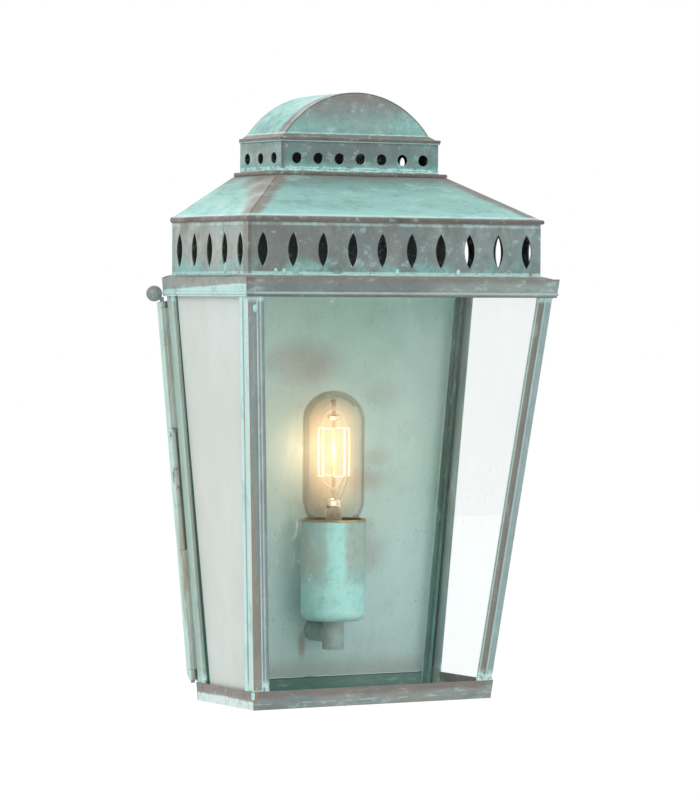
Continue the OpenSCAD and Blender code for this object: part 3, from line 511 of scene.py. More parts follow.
def postMarks(paint):
    # Leg faces: painted light makes the left legs pale, the front legs grey, the corner brown
    share = paint.math("DIVIDE", paint.minus(paint.z, bandTop), cageTopZ - bandTop)
    half = paint.plus(cage["lowHalf"], paint.times(share, cage["topHalf"] - cage["lowHalf"]))
    front = paint.plus(cage["lowFront"], paint.times(share, cage["topFront"] - cage["lowFront"]))
    fromSide = paint.minus(half, paint.size(paint.x))
    fromFront = paint.minus(paint.y, front)
    isLeft = paint.ramp(paint.x, 0.01, -0.01)
    outerSide = paint.times(paint.ramp(paint.nx, *square), isLeft)
    isFront = paint.ramp(fromFront, 0.05, 0.04)
    pale = paint.mix(isFront, "BBD3C8", "D3F5EF")
    paint.lay(paint.times(outerSide, paint.patch(26, 0.22, 0.36, stretch=(1, 1, 0.3))), pale, 0.92)
    dirt = paint.times(outerSide, paint.patch(70, 0.6, 0.7, (7, 7, 7), (1, 1, 0.3)))
    paint.lay(dirt, "deep", 0.4)
    frontLeg = paint.times(paint.ramp(paint.ny, *square), isFront)
    rightHalf = paint.times(frontLeg, paint.rest(isLeft))
    paint.lay(paint.times(rightHalf, paint.ramp(fromSide, 0.0060, 0.0072)), "7E756D", 0.85)
    paint.lay(paint.times(rightHalf, paint.ramp(fromSide, 0.0062, 0.0050)), "9FB7B5", 0.6)
    # Painted highlight: a pale line along the bead of the right posts' front legs
    paint.lay(paint.times(rightHalf, paint.band(fromSide, 0.0056, 0.0003, 0.0005)), "pale", 0.5)
    leftLeg = paint.times(frontLeg, isLeft)
    widen = paint.ramp(paint.z, bandTop + 0.24, bandTop + 0.02, 0.0014, 0.0044)
    wander = paint.times(paint.noise(40, 2, 0.5, paint.stretched((1, 1, 0.3))), 0.0012)
    corner = paint.times(leftLeg, paint.ramp(paint.minus(fromSide, widen), wander, 0.0))
    paint.lay(corner, "rust", 0.5)
    grey = paint.times(leftLeg, paint.band(fromSide, 0.0072, 0.0016, 0.0012))
    paint.lay(grey, "87807C", 0.45)
    # Painted highlight: a light line along the bead of the left posts' front legs
    shine = paint.times(leftLeg, paint.band(fromSide, 0.0092, 0.0003, 0.0005))
    paint.lay(shine, "C3CFD0", 0.7)
    back = paint.times(paint.ramp(paint.y, -0.035, -0.030), paint.ramp(paint.ny, -0.4, -0.7))
    paint.lay(back, paint.mix(paint.patch(24, 0.4, 0.6, stretch=(1, 1, 0.3)), "8A867C", "83A298"), 0.85)
    # Painted light: the left-facing faces of the right posts are lightened
    innerRight = paint.times(paint.ramp(paint.nx, *square), paint.rest(isLeft))
    paint.lay(innerRight, "BFE0D5", 0.8)
    foot = paint.times(paint.ramp(paint.z, bandTop + 0.010, bandTop + 0.003), paint.patch(140, 0.42, 0.55))
    paint.lay(foot, "pale", 0.9)
    head = paint.times(paint.ramp(paint.z, cageTopZ - 0.005, cageTopZ - 0.001), paint.patch(120, 0.40, 0.5))
    paint.lay(head, "pale", 0.7)


# Stains on the pan: middle x and z, half width, half height, strength
panStains = [
    (-0.010, 0.084, 0.034, 0.018, 0.70),
    (0.046, -0.004, 0.018, 0.010, 0.60),
    (0.052, 0.012, 0.014, 0.008, 0.4),
    (0.040, -0.062, 0.024, 0.016, 0.50),
    (0.042, -0.040, 0.012, 0.008, 0.35),
    (-0.060, -0.012, 0.010, 0.012, 0.35),
    (0.060, 0.060, 0.016, 0.010, 0.25),
    (-0.010, -0.128, 0.0035, 0.012, 0.9),
    (-0.060, 0.100, 0.016, 0.012, 0.3),
]


def panMarks(paint):
    # Even grey-green, bluer towards the foot, with pinkish-brown stains round the lamp
    paint.lay(0.75, "CDE1D8")
    paint.lay(paint.ramp(paint.z, 0.02, -0.11), "CCE3E1", 0.75)
    paint.lay(paint.ramp(paint.z, 0.06, 0.13), "BEE2D4", 0.6)
    # Painted light: the lower left corner is lightened, where the left pane shades it
    corner = paint.times(paint.ramp(paint.x, 0.0, -0.09), paint.ramp(paint.z, 0.0, -0.12))
    paint.lay(corner, "E0F2F0", 0.7)
    wander = paint.times(paint.noise(26, 4, 0.6), 0.9)
    for middleX, middleZ, halfX, halfZ, strength in panStains:
        dx = paint.math("DIVIDE", paint.minus(paint.x, middleX), halfX)
        dz = paint.math("DIVIDE", paint.minus(paint.z, middleZ), halfZ)
        far = paint.math("SQRT", paint.plus(paint.times(dx, dx), paint.times(dz, dz)))
        spot = paint.ramp(paint.plus(far, wander), 1.8, 0.8, 0.0, strength)
        paint.lay(spot, "AB9D93", 0.8)
    scratch = paint.band(paint.noise(18, 2, 0.5, paint.stretched((9, 1, 0.8), (2, 0, 5)), 1.5), 0.5, 0.003,
                         0.006)
    paint.lay(paint.times(scratch, paint.patch(16, 0.5, 0.62)), "pale", 0.35)
    hem = paint.ramp(paint.z, panLow.z + 0.018, panLow.z + 0.003)
    paint.lay(hem, "ABA69D", 0.5)
    edge = paint.ramp(paint.ny, -0.8, -0.5)
    paint.lay(edge, "CDEEE5", 0.85)
    paint.lay(paint.times(paint.ramp(paint.y, -0.0095, -0.0100), paint.ramp(paint.ny, 0.5, 0.8)), "deep",
              0.7)


def cupMarks(paint):
    # A scoured turquoise streak down the front, brownish shoulders at the mouth
    height = paint.minus(paint.z, cupLow.z)
    paint.lay(0.6, "BBDAD2")
    turned = paint.plus(paint.x, paint.times(paint.noise(40, 3, 0.5), 0.008))
    streak = paint.band(turned, -0.006, 0.004, 0.006)
    broad = paint.ramp(height, 0.036, 0.020)
    paint.lay(paint.most(streak, broad), "B6EEE7", 0.85)
    mouth = paint.times(paint.ramp(height, 0.030, 0.045), paint.rest(streak))
    paint.lay(paint.times(mouth, paint.patch(30, 0.38, 0.6)), "B4B5A6", 0.6)
    ringWear = paint.band(height, 0.024, 0.002, 0.003)
    paint.lay(paint.times(ringWear, paint.patch(60, 0.4, 0.6)), "pale", 0.25)
    paint.lay(paint.times(paint.ramp(height, 0.014, 0.006), paint.patch(70, 0.42, 0.6)), "pale", 0.5)
    rim = paint.ramp(height, 0.0738, 0.0743)
    paint.lay(rim, "brown", 0.7)


def backMarks(paint):
    # Painted shade: the inner face, turned to the front, is darkened
    inner = paint.ramp(paint.ny, -0.4, -0.7)
    paint.lay(inner, "darkShade", 0.95)


def knuckleMarks(paint):
    # Painted light makes the outer side pale; tan wear on the low barrel, dark pits on the middle one
    paint.lay(0.5, "B5B9AE")
    outer = paint.times(paint.ramp(paint.nx, -0.62, -0.86),
                        paint.patch(60, 0.28, 0.42, (1, 5, 1), (1, 1, 0.2)))
    paint.lay(outer, "CDEDE3", 0.9)
    low = paint.times(paint.ramp(paint.z, -0.02, -0.05),
                      paint.patch(60, 0.40, 0.56, (5, 5, 5), (1, 1, 0.1)))
    paint.lay(low, "A48F70", 0.55)
    pits = paint.times(paint.ramp(paint.noise(260, 3, 0.6, paint.stretched((1, 1, 0.4))), 0.58, 0.64),
                       paint.ramp(paint.size(paint.minus(paint.z, -0.005)), 0.05, 0.04))
    paint.lay(pits, "umber", 0.7)


def pinMarks(paint):
    # Handled ball: green in the pits, bare tan where fingers lift it
    pits = paint.ramp(paint.noise(260, 4, 0.6), 0.52, 0.60)
    paint.lay(pits, "6F8F80", 0.8)
    paint.lay(paint.ramp(paint.noise(190, 3, 0.6, paint.stretched((1, 1, 1), (3, 1, 6))), 0.60, 0.66),
              "rust", 0.75)


def coat(names, *settings, **more):
    dress(names, weathered(*settings, **more))


def paintCopper():
    coat(["gallery"], "galleryPatina", "slate", "dove", (0.4, 0.65), (0.54, 0.72), 1.3, marks=galleryMarks,
         wisp=0.22)
    coat(["hip_roof"], "roofPatina", "verdigris", "deep", (0.55, 0.8), (0.72, 0.86), 2.1, (0.3, 0.3, 1.6),
         roofMarks, wisp=0.15)
    coat(["barrel_dome"], "domePatina", "verdigris", "deep", (0.5, 0.75), (0.72, 0.86), 3.7,
         marks=domeMarks, wisp=0.15)
    coat(["neck"], "neckPatina", "slate", "deep", (0.4, 0.62), (0.56, 0.72), 4.4, marks=neckMarks)
    coat(["shoulder"], "shoulderPatina", "slate", "deep", seed=5.2, marks=shoulderMarks)
    coat(["cornice"], "cornicePatina", "slate", "dove", (0.4, 0.6), (0.62, 0.76), 6.6, (0.4, 1, 1),
         corniceMarks, wisp=0.15, gloom=0.36)
    coat(["base_tray"], "trayPatina", "slate", "dove", (0.4, 0.62), (0.6, 0.74), 7.1, (0.4, 1, 1),
         trayMarks, gloom=0.25)
    coat(["eave_rim"], "brownEdge", "brown", "dove", (0.42, 0.6), (0.9, 0.95), 8.3, (0.5, 1, 1), wisp=0.2,
         gloom=0.25)
    coat(["collar_plate"], "collarPatina", "brown", "slate", (0.45, 0.7), (0.9, 0.95), 8.9,
         marks=collarMarks, wisp=0.2)
    posts = ["post_front_left", "post_front_right", "post_back_left", "post_back_right"]
    coat(posts, "postPatina", "slate", "deep", (0.45, 0.66), (0.6, 0.76), 9.5, (1, 1, 0.25), postMarks,
         wisp=0.2, gloom=0.15, grain=0.7)
    coat(["glazing_strips"], "stripPatina", "shade", "deep", seed=10.2, stretch=(1, 1, 0.3))
    coat(["back_pan"], "panPatina", "verdigris", "deep", (0.2, 0.75), (0.8, 0.92), 11.4, (0.5, 1, 0.3),
         panMarks, wisp=0.12, gloom=0, grain=0.2)
    coat(["roof_back"], "backPatina", "slate", "deep", seed=12.8, marks=backMarks)
    coat(["holder_cup"], "cupPatina", "deep", "slate", (0.45, 0.75), (0.7, 0.84), 13.6, marks=cupMarks,
         gloom=0, grain=0.6)
    coat(["arm_tube", "stem_tube"], "armPatina", "verdigris", "dove", (0.4, 0.62), (0.56, 0.72), 14.9,
         gloom=0, grain=0.7)
    coat(["pan_knuckles", "cage_knuckles"], "knucklePatina", "dove", "slate", (0.4, 0.7), (0.56, 0.74),
         15.7, (1, 1, 0.2), knuckleMarks, gloom=0)
    coat(["hinge_pin"], "pinPatina", "slate", "brown", (0.4, 0.62), (0.46, 0.62), 16.4, marks=pinMarks,
         rough=0.5, gloom=0)
    coat(["catch_fork"], "forkPatina", "slate", "deep", seed=17.3)


paintCopper()
print("stage: copper painted")


def metalPaint(name, colour, rough, grain, dull):
    paint = Paint(name)
    tone = paint.mix(paint.patch(grain, 0.38, 0.66), colour, dull)
    shine = paint.ramp(paint.noise(grain * 3, 3, 0.5), 0.3, 0.7, rough - 0.08, rough + 0.12)
    return paint.finish(tone, shine, 0.9, paint.bump(paint.noise(grain * 8, 3, 0.6), 0.15, 0.0004))


def porcelainPaint():
    paint = Paint("porcelain")
    tone = paint.mix(paint.patch(40, 0.4, 0.7), "E9E7E0", "D8D4C8")
    return paint.finish(tone, 0.22, 0.0, paint.bump(paint.noise(90, 3, 0.5), 0.1, 0.0004))


# Lime on the glass: share of its light that shines through, tone and depth of the slot's shadow,
# its width at the head and at the foot
lime = {
    "through": 0.26,
    "shadow": "4E776B",
    "depth": 0.93,
    "slot": (0.0012, 0.0036),
}


def panePaint(name, tint, haze, film, gloss=0.25, scratches=0.0, shadowLine=False):
    # Sheet glass seen through, under a film of lime that lets light through and lies thicker in places
    paint = Paint(name)
    clear = paint.shader("BsdfTransparent", Color=tint)
    cloud = paint.ramp(paint.noise(13, 4, 0.55, paint.stretched((1, 1, 0.5))), 0.3, 0.75)
    tone = paint.mix(cloud, film[0], film[1])
    amount = paint.ramp(cloud, 0.0, 1.0, haze[0], haze[1])
    drops = paint.ramp(paint.noise(330, 2, 0.5), 0.72, 0.80, 0.0, 0.10)
    amount = paint.math("ADD", amount, drops, True)
    if scratches:
        turned = paint.node("ShaderNodeMapping")
        paint.link(paint.coords, turned.inputs["Vector"])
        turned.inputs["Rotation"].default_value = (0, math.radians(42), 0)
        turned.inputs["Scale"].default_value = (14, 1, 0.8)
        lines = paint.band(paint.noise(14, 2, 0.5, turned.outputs[0], 0.6), 0.5, 0.002, 0.005)
        amount = paint.math("ADD", amount, paint.times(lines, paint.patch(14, 0.5, 0.6, (1, 0, 2)),
                                                       scratches), True)
    if shadowLine:
        # The dark slot beside the back post, wider towards the foot
        wide = paint.ramp(paint.z, 0.13, -0.15, *lime["slot"])
        slot = paint.ramp(paint.minus(backLegFront, paint.y), wide, paint.minus(wide, 0.0006))
        tone = paint.mix(slot, tone, lime["shadow"])
        amount = paint.most(amount, paint.times(slot, lime["depth"]))
    matt = paint.shader("BsdfDiffuse", Color=tone)
    through = paint.shader("BsdfTranslucent", Color=tone)
    body = paint.blend(amount, clear, paint.blend(lime["through"], matt, through))
    mirror = paint.shader("BsdfGlossy", Roughness=0.03)
    facing = paint.shader("Fresnel", IOR=1.3)
    return paint.show(paint.blend(paint.times(facing.outputs[0], gloss), body, mirror))


# The lamp's glass: tone at its outline, strength of the bloom and how far from the filament it ends
bulb = {
    "rim": "FCFBF4",
    "bloom": 0.19,
    "reach": 0.060,
}


def bulbPaint():
    # Thin blown glass: clear in the middle, pale at its outline, with a warm bloom from the filament
    paint = Paint("bulbGlass")
    facing = paint.shader("LayerWeight", Blend=0.5).outputs["Facing"]
    clear = paint.shader("BsdfTransparent", Color=paint.mix(paint.ramp(facing, 0.90, 1.0), "FFFEFB",
                                                            bulb["rim"]))
    gloss = paint.shader("BsdfGlossy", Roughness=0.02)
    fresnel = paint.shader("Fresnel", IOR=1.25)
    body = paint.blend(paint.times(fresnel.outputs[0], 0.22), clear, gloss)
    pale = paint.shader("BsdfTranslucent", Color="FBFAF2")
    body = paint.blend(paint.ramp(facing, 0.90, 0.99, 0.0, 0.30), body, pale)
    along = paint.ramp(paint.size(paint.minus(paint.z, filamentMid)), bulb["reach"], 0.010)
    front = paint.math("POWER", paint.rest(facing), 2.5)
    lit = paint.shader("Emission", Color=(1.0, 0.62, 0.36),
                       Strength=paint.times(along, front, bulb["bloom"]))
    both = paint.node("ShaderNodeAddShader")
    paint.link(body.outputs[0], both.inputs[0])
    paint.link(lit.outputs[0], both.inputs[1])
    return paint.show(both)


def mountPaint():
    # Thick drawn glass, milky where it is pinched
    paint = Paint("mountGlass")
    facing = paint.shader("LayerWeight", Blend=0.5).outputs["Facing"]
    clear = paint.shader("BsdfTransparent", Color="FBF8F0")
    milk = paint.shader("BsdfPrincipled", Roughness=0.08)
    paint.feed(paint.mix(paint.patch(120, 0.4, 0.6), "FFFBF2", "DCCBAE"), milk.inputs["Base Color"])
    return paint.show(paint.blend(paint.ramp(facing, 0.1, 0.9, 0.50, 0.90), clear, milk))


def glowPaint(name, colour, strength):
    paint = Paint(name)
    return paint.show(paint.shader("Emission", Color=colour, Strength=strength))


brassPaint = metalPaint("dullBrass", "B49A6A", 0.38, 60, "86704C")
steelPaint = metalPaint("zincSteel", "A9ABAC", 0.42, 50, "8A8C8D")
dress(["pan_screws", "stem_nipple", "socket_shell", "centre_contact", "catch_stud", "catch_nut", "cup_rim",
       "lamp_cap"], brassPaint)
dress(["wall_bracket", "arm_nut"], steelPaint)
dress(["terminal_block", "wire_bush", "socket_insulator"], porcelainPaint())
dress(["glass_front"], panePaint("frontGlass", "FDFFFE", (0.0, 0.05), ("F0F6F4", "FAFCFB"), 0.2, 0.3))
dress(["glass_left"], panePaint("leftGlass", "F4FAF7", (0.84, 0.95), ("F5F8F3", "F9FFFB"), 0.3,
                                shadowLine=True))
dress(["glass_right"], panePaint("rightGlass", "FEFEFF", (0.0, 0.02), ("FAFAFC", "FFFFFF"), 0.06))
dress(["lamp_bulb"], bulbPaint())
dress(["lamp_mount"], mountPaint())
print("stage: glass, brass and porcelain")


# Modelling helpers, each working on one mesh in its final place
def deselectAll():
    if bpy.context.object and bpy.context.object.mode != "OBJECT":
        bpy.ops.object.mode_set(mode="OBJECT")
    bpy.ops.object.select_all(action="DESELECT")


def settle(name, body, material):
    made = bpy.context.object
    made.name = name
    bpy.ops.object.transform_apply(location=True, rotation=True, scale=True)
    bpy.ops.object.mode_set(mode="EDIT")
    bpy.ops.mesh.select_all(action="SELECT")
    bpy.ops.mesh.remove_doubles(threshold=0.000005)
    bpy.ops.mesh.normals_make_consistent(inside=False)
    bpy.ops.object.mode_set(mode="OBJECT")
    made.data.materials.clear()
    made.data.materials.append(material)
    bpy.ops.object.shade_smooth_by_angle(angle=math.radians(40))
    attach(made, body)
    return made


def wireAlong(name, points, radius, body, slotName, material, sides=8):
    # One vertex is extruded from point to point, then given a round section as a curve
    deselectAll()
    bpy.ops.mesh.primitive_plane_add(size=0.001, location=points[0])
    bpy.ops.object.transform_apply(location=True, rotation=True, scale=True)
    bpy.ops.object.mode_set(mode="EDIT")
    bpy.ops.mesh.select_all(action="SELECT")
    bpy.ops.mesh.merge(type="CENTER")
    for before, after in zip(points, points[1:]):
        step = tuple(Vector(after) - Vector(before))
        bpy.ops.mesh.extrude_region_move(TRANSFORM_OT_translate={"value": step})
    bpy.ops.object.mode_set(mode="OBJECT")
    bpy.ops.object.convert(target="CURVE")
    line = bpy.context.object.data
    line.bevel_depth = 1.0
    line.bevel_resolution = max(0, sides // 4 - 1)
    line.use_fill_caps = True
    count = len(line.splines[0].points)
    radii = radius if isinstance(radius, (list, tuple)) else [radius] * count
    if (line.splines[0].points[0].co.to_3d() - Vector(points[0])).length > 0.00002:
        radii = list(reversed(radii))
    for spot, thick in zip(line.splines[0].points, radii):
        spot.radius = thick
    bpy.ops.object.convert(target="MESH")
    return settle(name, body, material)


def bead(name, place, radius, stretch, body, slotName, material):
    # A drop: a small sphere pulled longer and flatter, then dented a little
    deselectAll()
    bpy.ops.mesh.primitive_uv_sphere_add(segments=18, ring_count=11, radius=radius, location=place)
    bpy.ops.object.mode_set(mode="EDIT")
    bpy.ops.mesh.select_all(action="SELECT")
    bpy.ops.transform.resize(value=stretch)
    bpy.ops.transform.vertex_random(offset=radius * 0.08, seed=3)
    bpy.ops.object.mode_set(mode="OBJECT")
    return settle(name, body, material)


def crustPaint():
    paint = Paint("solderCrust")
    tone = paint.mix(paint.patch(150, 0.36, 0.6), "pale", "9AD2CA")
    tone = paint.tint(tone, paint.patch(260, 0.58, 0.7), "brown", 0.7)
    return paint.finish(tone, 0.6, 0.1, paint.bump(paint.noise(500, 4, 0.7), 0.7, 0.0012))


solderJob = ("cage", "verdigris_copper", crustPaint())
rolledEdge = weathered("rolledEdge", "brown", "umber", (0.5, 0.75), (0.9, 0.95), 18.1, wisp=0.15)
chance = random.Random(7)

seams = {
    "step": 0.0026,
    "thin": 0.00035,
    "thick": 0.00105,
    "wander": 0.0005,
}


def raggedSeam(name, corners, thick=1.0):
    # An uneven fillet of solder that wanders up and down a joint
    points, radii = [], []
    for start, end in zip(corners, corners[1:]):
        start, end = Vector(start), Vector(end)
        count = max(2, int((end - start).length / seams["step"]))
        for i in range(count):
            lift = chance.uniform(0, seams["wander"]) * thick
            points.append(start.lerp(end, i / count) + Vector((0, 0, lift)))
            radii.append(chance.uniform(seams["thin"], seams["thick"]) * thick)
    points.append(Vector(corners[-1]))
    radii.append(seams["thin"] * thick)
    return wireAlong(name, points, radii, *solderJob)


def storeyPath(half, front, back, z):
    return [(-half, back, z), (-half, front, z), (half, front, z), (half, back, z)]


def makeSeams():
    back = neckHigh.y
    raggedSeam("neck_seam", storeyPath(neckHigh.x, neckLow.y, back, neckLow.z + 0.0006), thick=1.25)
    raggedSeam("neck_seam_upper", [(neckLow.x + 0.004, neckLow.y, neckLow.z + 0.0026),
                                   (neckHigh.x - 0.002, neckLow.y, neckLow.z + 0.0022)], thick=0.6)
    raggedSeam("gallery_seam", storeyPath(galleryHigh.x, galleryLow.y, back, galleryLow.z), thick=0.5)
    raggedSeam("dome_seam",
               [(domeLow.x, domeLow.y, domeLow.z + 0.0002), (domeHigh.x, domeLow.y, domeLow.z + 0.0002)],
               thick=0.45)
    raggedSeam("collar_seam", [(collarLow.x + 0.001, collarLow.y + 0.0004, collarLow.z - 0.0004),
                               (collarHigh.x - 0.001, collarLow.y + 0.0004, collarLow.z - 0.0004)],
               thick=0.35)
    for side, sign in (("left", -1), ("right", 1)):
        for end, z, thick in (("foot", bandTop, 0.9), ("head", cageTopZ - 0.0004, 0.6)):
            x, y = halfWidth(z) * sign, frontY(z)
            raggedSeam(f"{end}_front_{side}", [(x - 0.013 * sign, y - 0.0002, z), (x, y - 0.0002, z),
                                               (x + 0.0002 * sign, y + 0.012, z)], thick=thick)
    # The lump where cornice, gallery and corner meet, and the corner of the tray
    for name, z, outX, outY, lift, shape in (
        ("cornice_lump", cageTopZ, 0.0018, 0.0018, 0.0045, (0.55, 0.55, 2.4)),
        ("tray_lump", bandTop, 0.0006, 0.0004, -0.0030, (0.7, 0.7, 1.6)),
    ):
        bead(name, (-halfWidth(z) - outX, frontY(z) - outY, z + lift), 0.0020, shape, *solderJob)
    # Solder spots up the inside corner of the back right post
    for i in range(16):
        z = cageTopZ - 0.006 - 0.0034 * i
        x = halfWidth(z) - 0.0016
        bead(f"corner_spot_{i}", (x, -0.0172, z), 0.00055, (1, 0.8, chance.uniform(1.2, 2.4)), *solderJob)


makeSeams()


def makeDrops():
    # The drip on the front left post, the ring and the run on the gallery's left side, runs at its foot
    z = cageTopZ - 0.0085
    side, foot = galleryLow.x - 0.0001, galleryLow.z + 0.0020
    drops = [
        ("post_drop", (-halfWidth(z) + 0.0058, frontY(z) - 0.0003, z), 0.0024, (0.95, 0.5, 1.25)),
        ("side_drop", (side, -0.093, galleryHigh.z - 0.0085), 0.0019, (0.35, 0.8, 1.2)),
        ("side_run", (side, -0.099, galleryLow.z + 0.0040), 0.0024, (0.3, 0.9, 1.9)),
    ]
    for i, x in enumerate((-0.094, -0.101, 0.0, 0.052)):
        drops.append((f"foot_run_{i}", (x, galleryLow.y - 0.0002, foot), 0.0019, (0.9, 0.35, 1.3)))
    for drop in drops:
        bead(*drop, *solderJob)


makeDrops()
print("stage: solder")


rolls = {
    "eave": 0.0017,
    "collar": 0.0013,
    "shoulder": 0.0011,
    "tip": 0.0035,
}


def rolledRim(name, half, front, back, z, radius):
    # A wired edge rolled over along the front and down both sides, rounded at its ends
    tip = rolls["tip"]
    points = [(-half, back, z), (-half, front + tip, z), (-half, front, z), (-half + tip, front, z),
              (half - tip, front, z), (half, front, z), (half, front + tip, z), (half, back, z)]
    return wireAlong(name, points, radius, "cage", "brown_copper", rolledEdge, 12)


def makeRolls():
    eaveLow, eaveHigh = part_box("eave_rim")
    for name, low, high, z in (
        ("eave", eaveLow, eaveHigh, (eaveLow.z + eaveHigh.z) / 2),
        ("collar", collarLow, collarHigh, collarLow.z + 0.0012),
        ("shoulder", shoulderLow, shoulderHigh, shoulderLow.z + 0.0022),
    ):
        r = rolls[name]
        rolledRim(f"{name}_roll", high.x - r * 0.3, low.y + r * 0.3, galleryHigh.y, z, r)


makeRolls()


def domeEdge():
    # Fine wired edge round the half-moon front
    rise = domeHigh.z - domeLow.z
    half = domeHigh.x
    radius = (half * half + rise * rise) / (2 * rise)
    sweep = math.asin(half / radius)
    points = []
    for i in range(41):
        turn = -sweep + 2 * sweep * i / 40
        points.append((math.sin(turn) * (radius - 0.0004), domeLow.y + 0.0002,
                       domeHigh.z - radius + math.cos(turn) * (radius - 0.0004)))
    wireAlong("dome_edge", points, 0.00045, "cage", "brown_copper", rolledEdge)


domeEdge()
print("stage: rolled edges")


# The filament: one hairpin zigzag on hooks, carried by the glass rod
filament = {
    "strands": 8,
    "radius": 0.0112,
    "wire": 0.00042,
    "hook": 0.00020,
    "lead": 0.00025,
    "foot": 0.0335,
    "head": 0.0690,
    "bow": 0.03,
    "pinch": 0.0062,
    "pinchRise": 0.0125,
    "button": 0.0032,
    "buttonRise": 0.0085,
    "glow": 3.2,
}


def makeFilament():
    centre = Vector((lampAxis.x, lampAxis.y, 0))
    low, high = cupHigh.z + filament["foot"], cupHigh.z + filament["head"]
    glow = glowPaint("hotCarbon", (1.0, 0.68, 0.30), filament["glow"])
    hookTone = glowPaint("litHook", (1.0, 0.80, 0.52), 0.95)

    def place(angle, z):
        turn = math.radians(angle)
        return centre + Vector((math.cos(turn), math.sin(turn), 0)) * filament["radius"] + Vector((0, 0, z))

    step = 360 / filament["strands"]
    path = []
    for i in range(filament["strands"]):
        ends = (low, high) if i % 2 == 0 else (high, low)
        for k in range(5):
            spot = place(i * step + 12 + 3 * k / 4, ends[0] + (ends[1] - ends[0]) * k / 4)
            outward = spot - centre - Vector((0, 0, spot.z))
            path.append(spot + outward * filament["bow"] * math.sin(k / 4 * math.pi))
    made = wireAlong("filament", path, filament["wire"], "lamp", "filament", glow)
    for i in range(filament["strands"] - 1):
        upper = i % 2 == 0
        z = high if upper else low
        tip = place(i * step + 15 + step / 2, z)
        tip = tip.lerp(Vector((centre.x, centre.y, z)), 0.07)
        root = centre + Vector((0, 0, high + 0.015 if upper else low - 0.010))
        bend = tip.lerp(root, 0.4) + Vector((0, 0, 0.005 if upper else -0.002))
        wireAlong(f"hook_{i}", [tip, bend, root], filament["hook"], "lamp", "filament", hookTone)
    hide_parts("lamp_filament")
    # Lead-in wires from the pinch to the two ends, the bright pinch and the button at the top
    lead = metalPaint("leadWire", "9C8F78", 0.35, 60, "77694F")
    for name, angle, z in (("lead_left", 12, low), ("lead_right", 12 + 7 * step, low)):
        top = place(angle, z)
        root = centre + Vector((0.003 if "right" in name else -0.003, 0, cupHigh.z + 0.013))
        sag = root.lerp(top, 0.5) + Vector((0, 0, -0.003))
        wireAlong(name, [root, sag, top], filament["lead"], "lamp", "filament", lead)
    mirror = metalPaint("brightPinch", "FBF4E6", 0.16, 90, "CDB596")
    for name, z, radius, shape in (
        ("pinch", cupHigh.z + filament["pinchRise"], filament["pinch"], (1.0, 0.75, 0.85)),
        ("anchor_button", high + filament["buttonRise"], filament["button"], (1.7, 1.0, 0.8)),
    ):
        bead(name, centre + Vector((0, 0, z)), radius, shape, "lamp", "filament", mirror)


makeFilament()
print("stage: filament")


# The glow of the lamp on pan and glass
lampGlow = {
    "power": 0.055,
    "colour": (1.0, 0.58, 0.46),
    "size": 0.012,
}


def glowLight():
    data = bpy.data.lights.new("lampGlow", "POINT")
    data.energy = lampGlow["power"]
    data.color = lampGlow["colour"]
    data.shadow_soft_size = lampGlow["size"]
    light = bpy.data.objects.new("lampGlow", data)
    light.location = (lampAxis.x, lampAxis.y, filamentMid)
    scene.collection.objects.link(light)


glowLight()


# Screw thread rolled into the lamp's cap
thread = {
    "turns": 5,
    "steps": 20,
    "pitch": 0.0032,
    "wire": 0.0004,
    "sunk": 0.0002,
    "start": 0.004,
}


def capThread():
    steps = thread["steps"]
    radius = capHigh.x - lampAxis.x - thread["sunk"]
    points = []
    for i in range(thread["turns"] * steps):
        turn = 2 * math.pi * i / steps
        rise = Vector((0, 0, capLow.z + thread["start"] + thread["pitch"] * i / steps))
        points.append(lampAxis + Vector((math.cos(turn), math.sin(turn), 0)) * radius + rise)
    wireAlong("cap_thread", points, thread["wire"], "lamp", "bare_brass", brassPaint)


capThread()
print("stage: lamp")


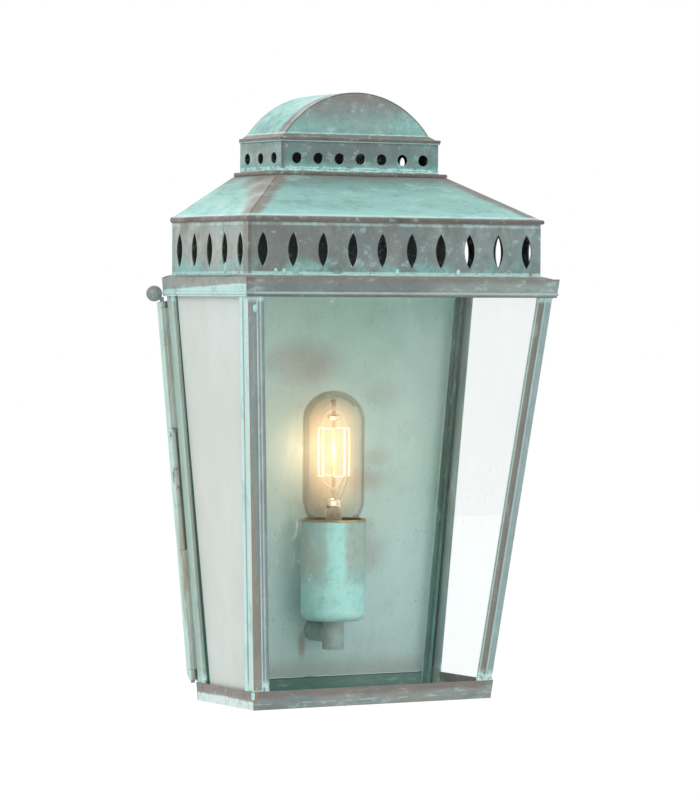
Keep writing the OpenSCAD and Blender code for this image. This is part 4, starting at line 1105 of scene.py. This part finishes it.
# Floor, background and soft light
def makeStage():
    deselectAll()
    bpy.ops.mesh.primitive_plane_add(size=12, location=(0, 0, footZ - 0.25))
    floor = bpy.context.object
    floor.name = "floor"
    paint = Paint("floor")
    matt = paint.shader("BsdfDiffuse", Color=(0.86, 0.86, 0.86))
    lit = paint.shader("Emission", Color=(1, 1, 1), Strength=1.06)
    # White to the eye all over, with the shadow kept where the lantern hangs
    away = paint.math("SQRT", paint.plus(paint.times(paint.x, paint.x), paint.times(paint.y, paint.y)))
    bright = paint.blend(paint.ramp(away, 0.5, 1.1, 0.72, 1.0), matt, lit)
    path = paint.node("ShaderNodeLightPath")
    seen = paint.most(*(path.outputs[f"Is {ray} Ray"] for ray in ("Camera", "Glossy", "Transmission")))
    floor.data.materials.append(paint.show(paint.blend(seen, matt, bright)))


def makeWorld():
    world = bpy.data.worlds.new("studio")
    scene.world = world
    world.use_nodes = True
    tree = world.node_tree
    tree.nodes.clear()
    output = tree.nodes.new("ShaderNodeOutputWorld")
    ambient = tree.nodes.new("ShaderNodeBackground")
    ambient.inputs["Color"].default_value = (0.93, 0.97, 1.0, 1)
    ambient.inputs["Strength"].default_value = 0.60
    white = tree.nodes.new("ShaderNodeBackground")
    white.inputs["Color"].default_value = (1, 1, 1, 1)
    white.inputs["Strength"].default_value = 1.0
    path = tree.nodes.new("ShaderNodeLightPath")
    seen = path.outputs["Is Camera Ray"]
    for ray in ("Is Transmission Ray", "Is Glossy Ray"):
        either = tree.nodes.new("ShaderNodeMath")
        either.operation = "MAXIMUM"
        tree.links.new(seen, either.inputs[0])
        tree.links.new(path.outputs[ray], either.inputs[1])
        seen = either.outputs[0]
    pick = tree.nodes.new("ShaderNodeMixShader")
    tree.links.new(seen, pick.inputs[0])
    tree.links.new(ambient.outputs[0], pick.inputs[1])
    tree.links.new(white.outputs[0], pick.inputs[2])
    tree.links.new(pick.outputs[0], output.inputs[0])


# Name, place, size, power
lamps = [
    ("key", (-2.2, -1.5, 1.5), 1.4, 26),
    ("top", (0.2, -0.8, 2.4), 1.4, 11),
    ("fill", (1.8, -2.2, 0.5), 1.8, 6),
    ("front", (-0.1, -2.8, 0.1), 1.6, 12),
    ("rear", (0.6, 2.0, 1.2), 1.6, 10),
]


def makeLamps():
    middle = Vector((0, -0.07, 0.05))
    for name, place, size, power in lamps:
        data = bpy.data.lights.new(name, "AREA")
        data.size = size
        data.energy = power
        light = bpy.data.objects.new(name, data)
        light.location = place
        light.rotation_euler = (middle - Vector(place)).to_track_quat("-Z", "Y").to_euler()
        scene.collection.objects.link(light)


makeStage()
makeWorld()
makeLamps()
print("stage: floor and light")
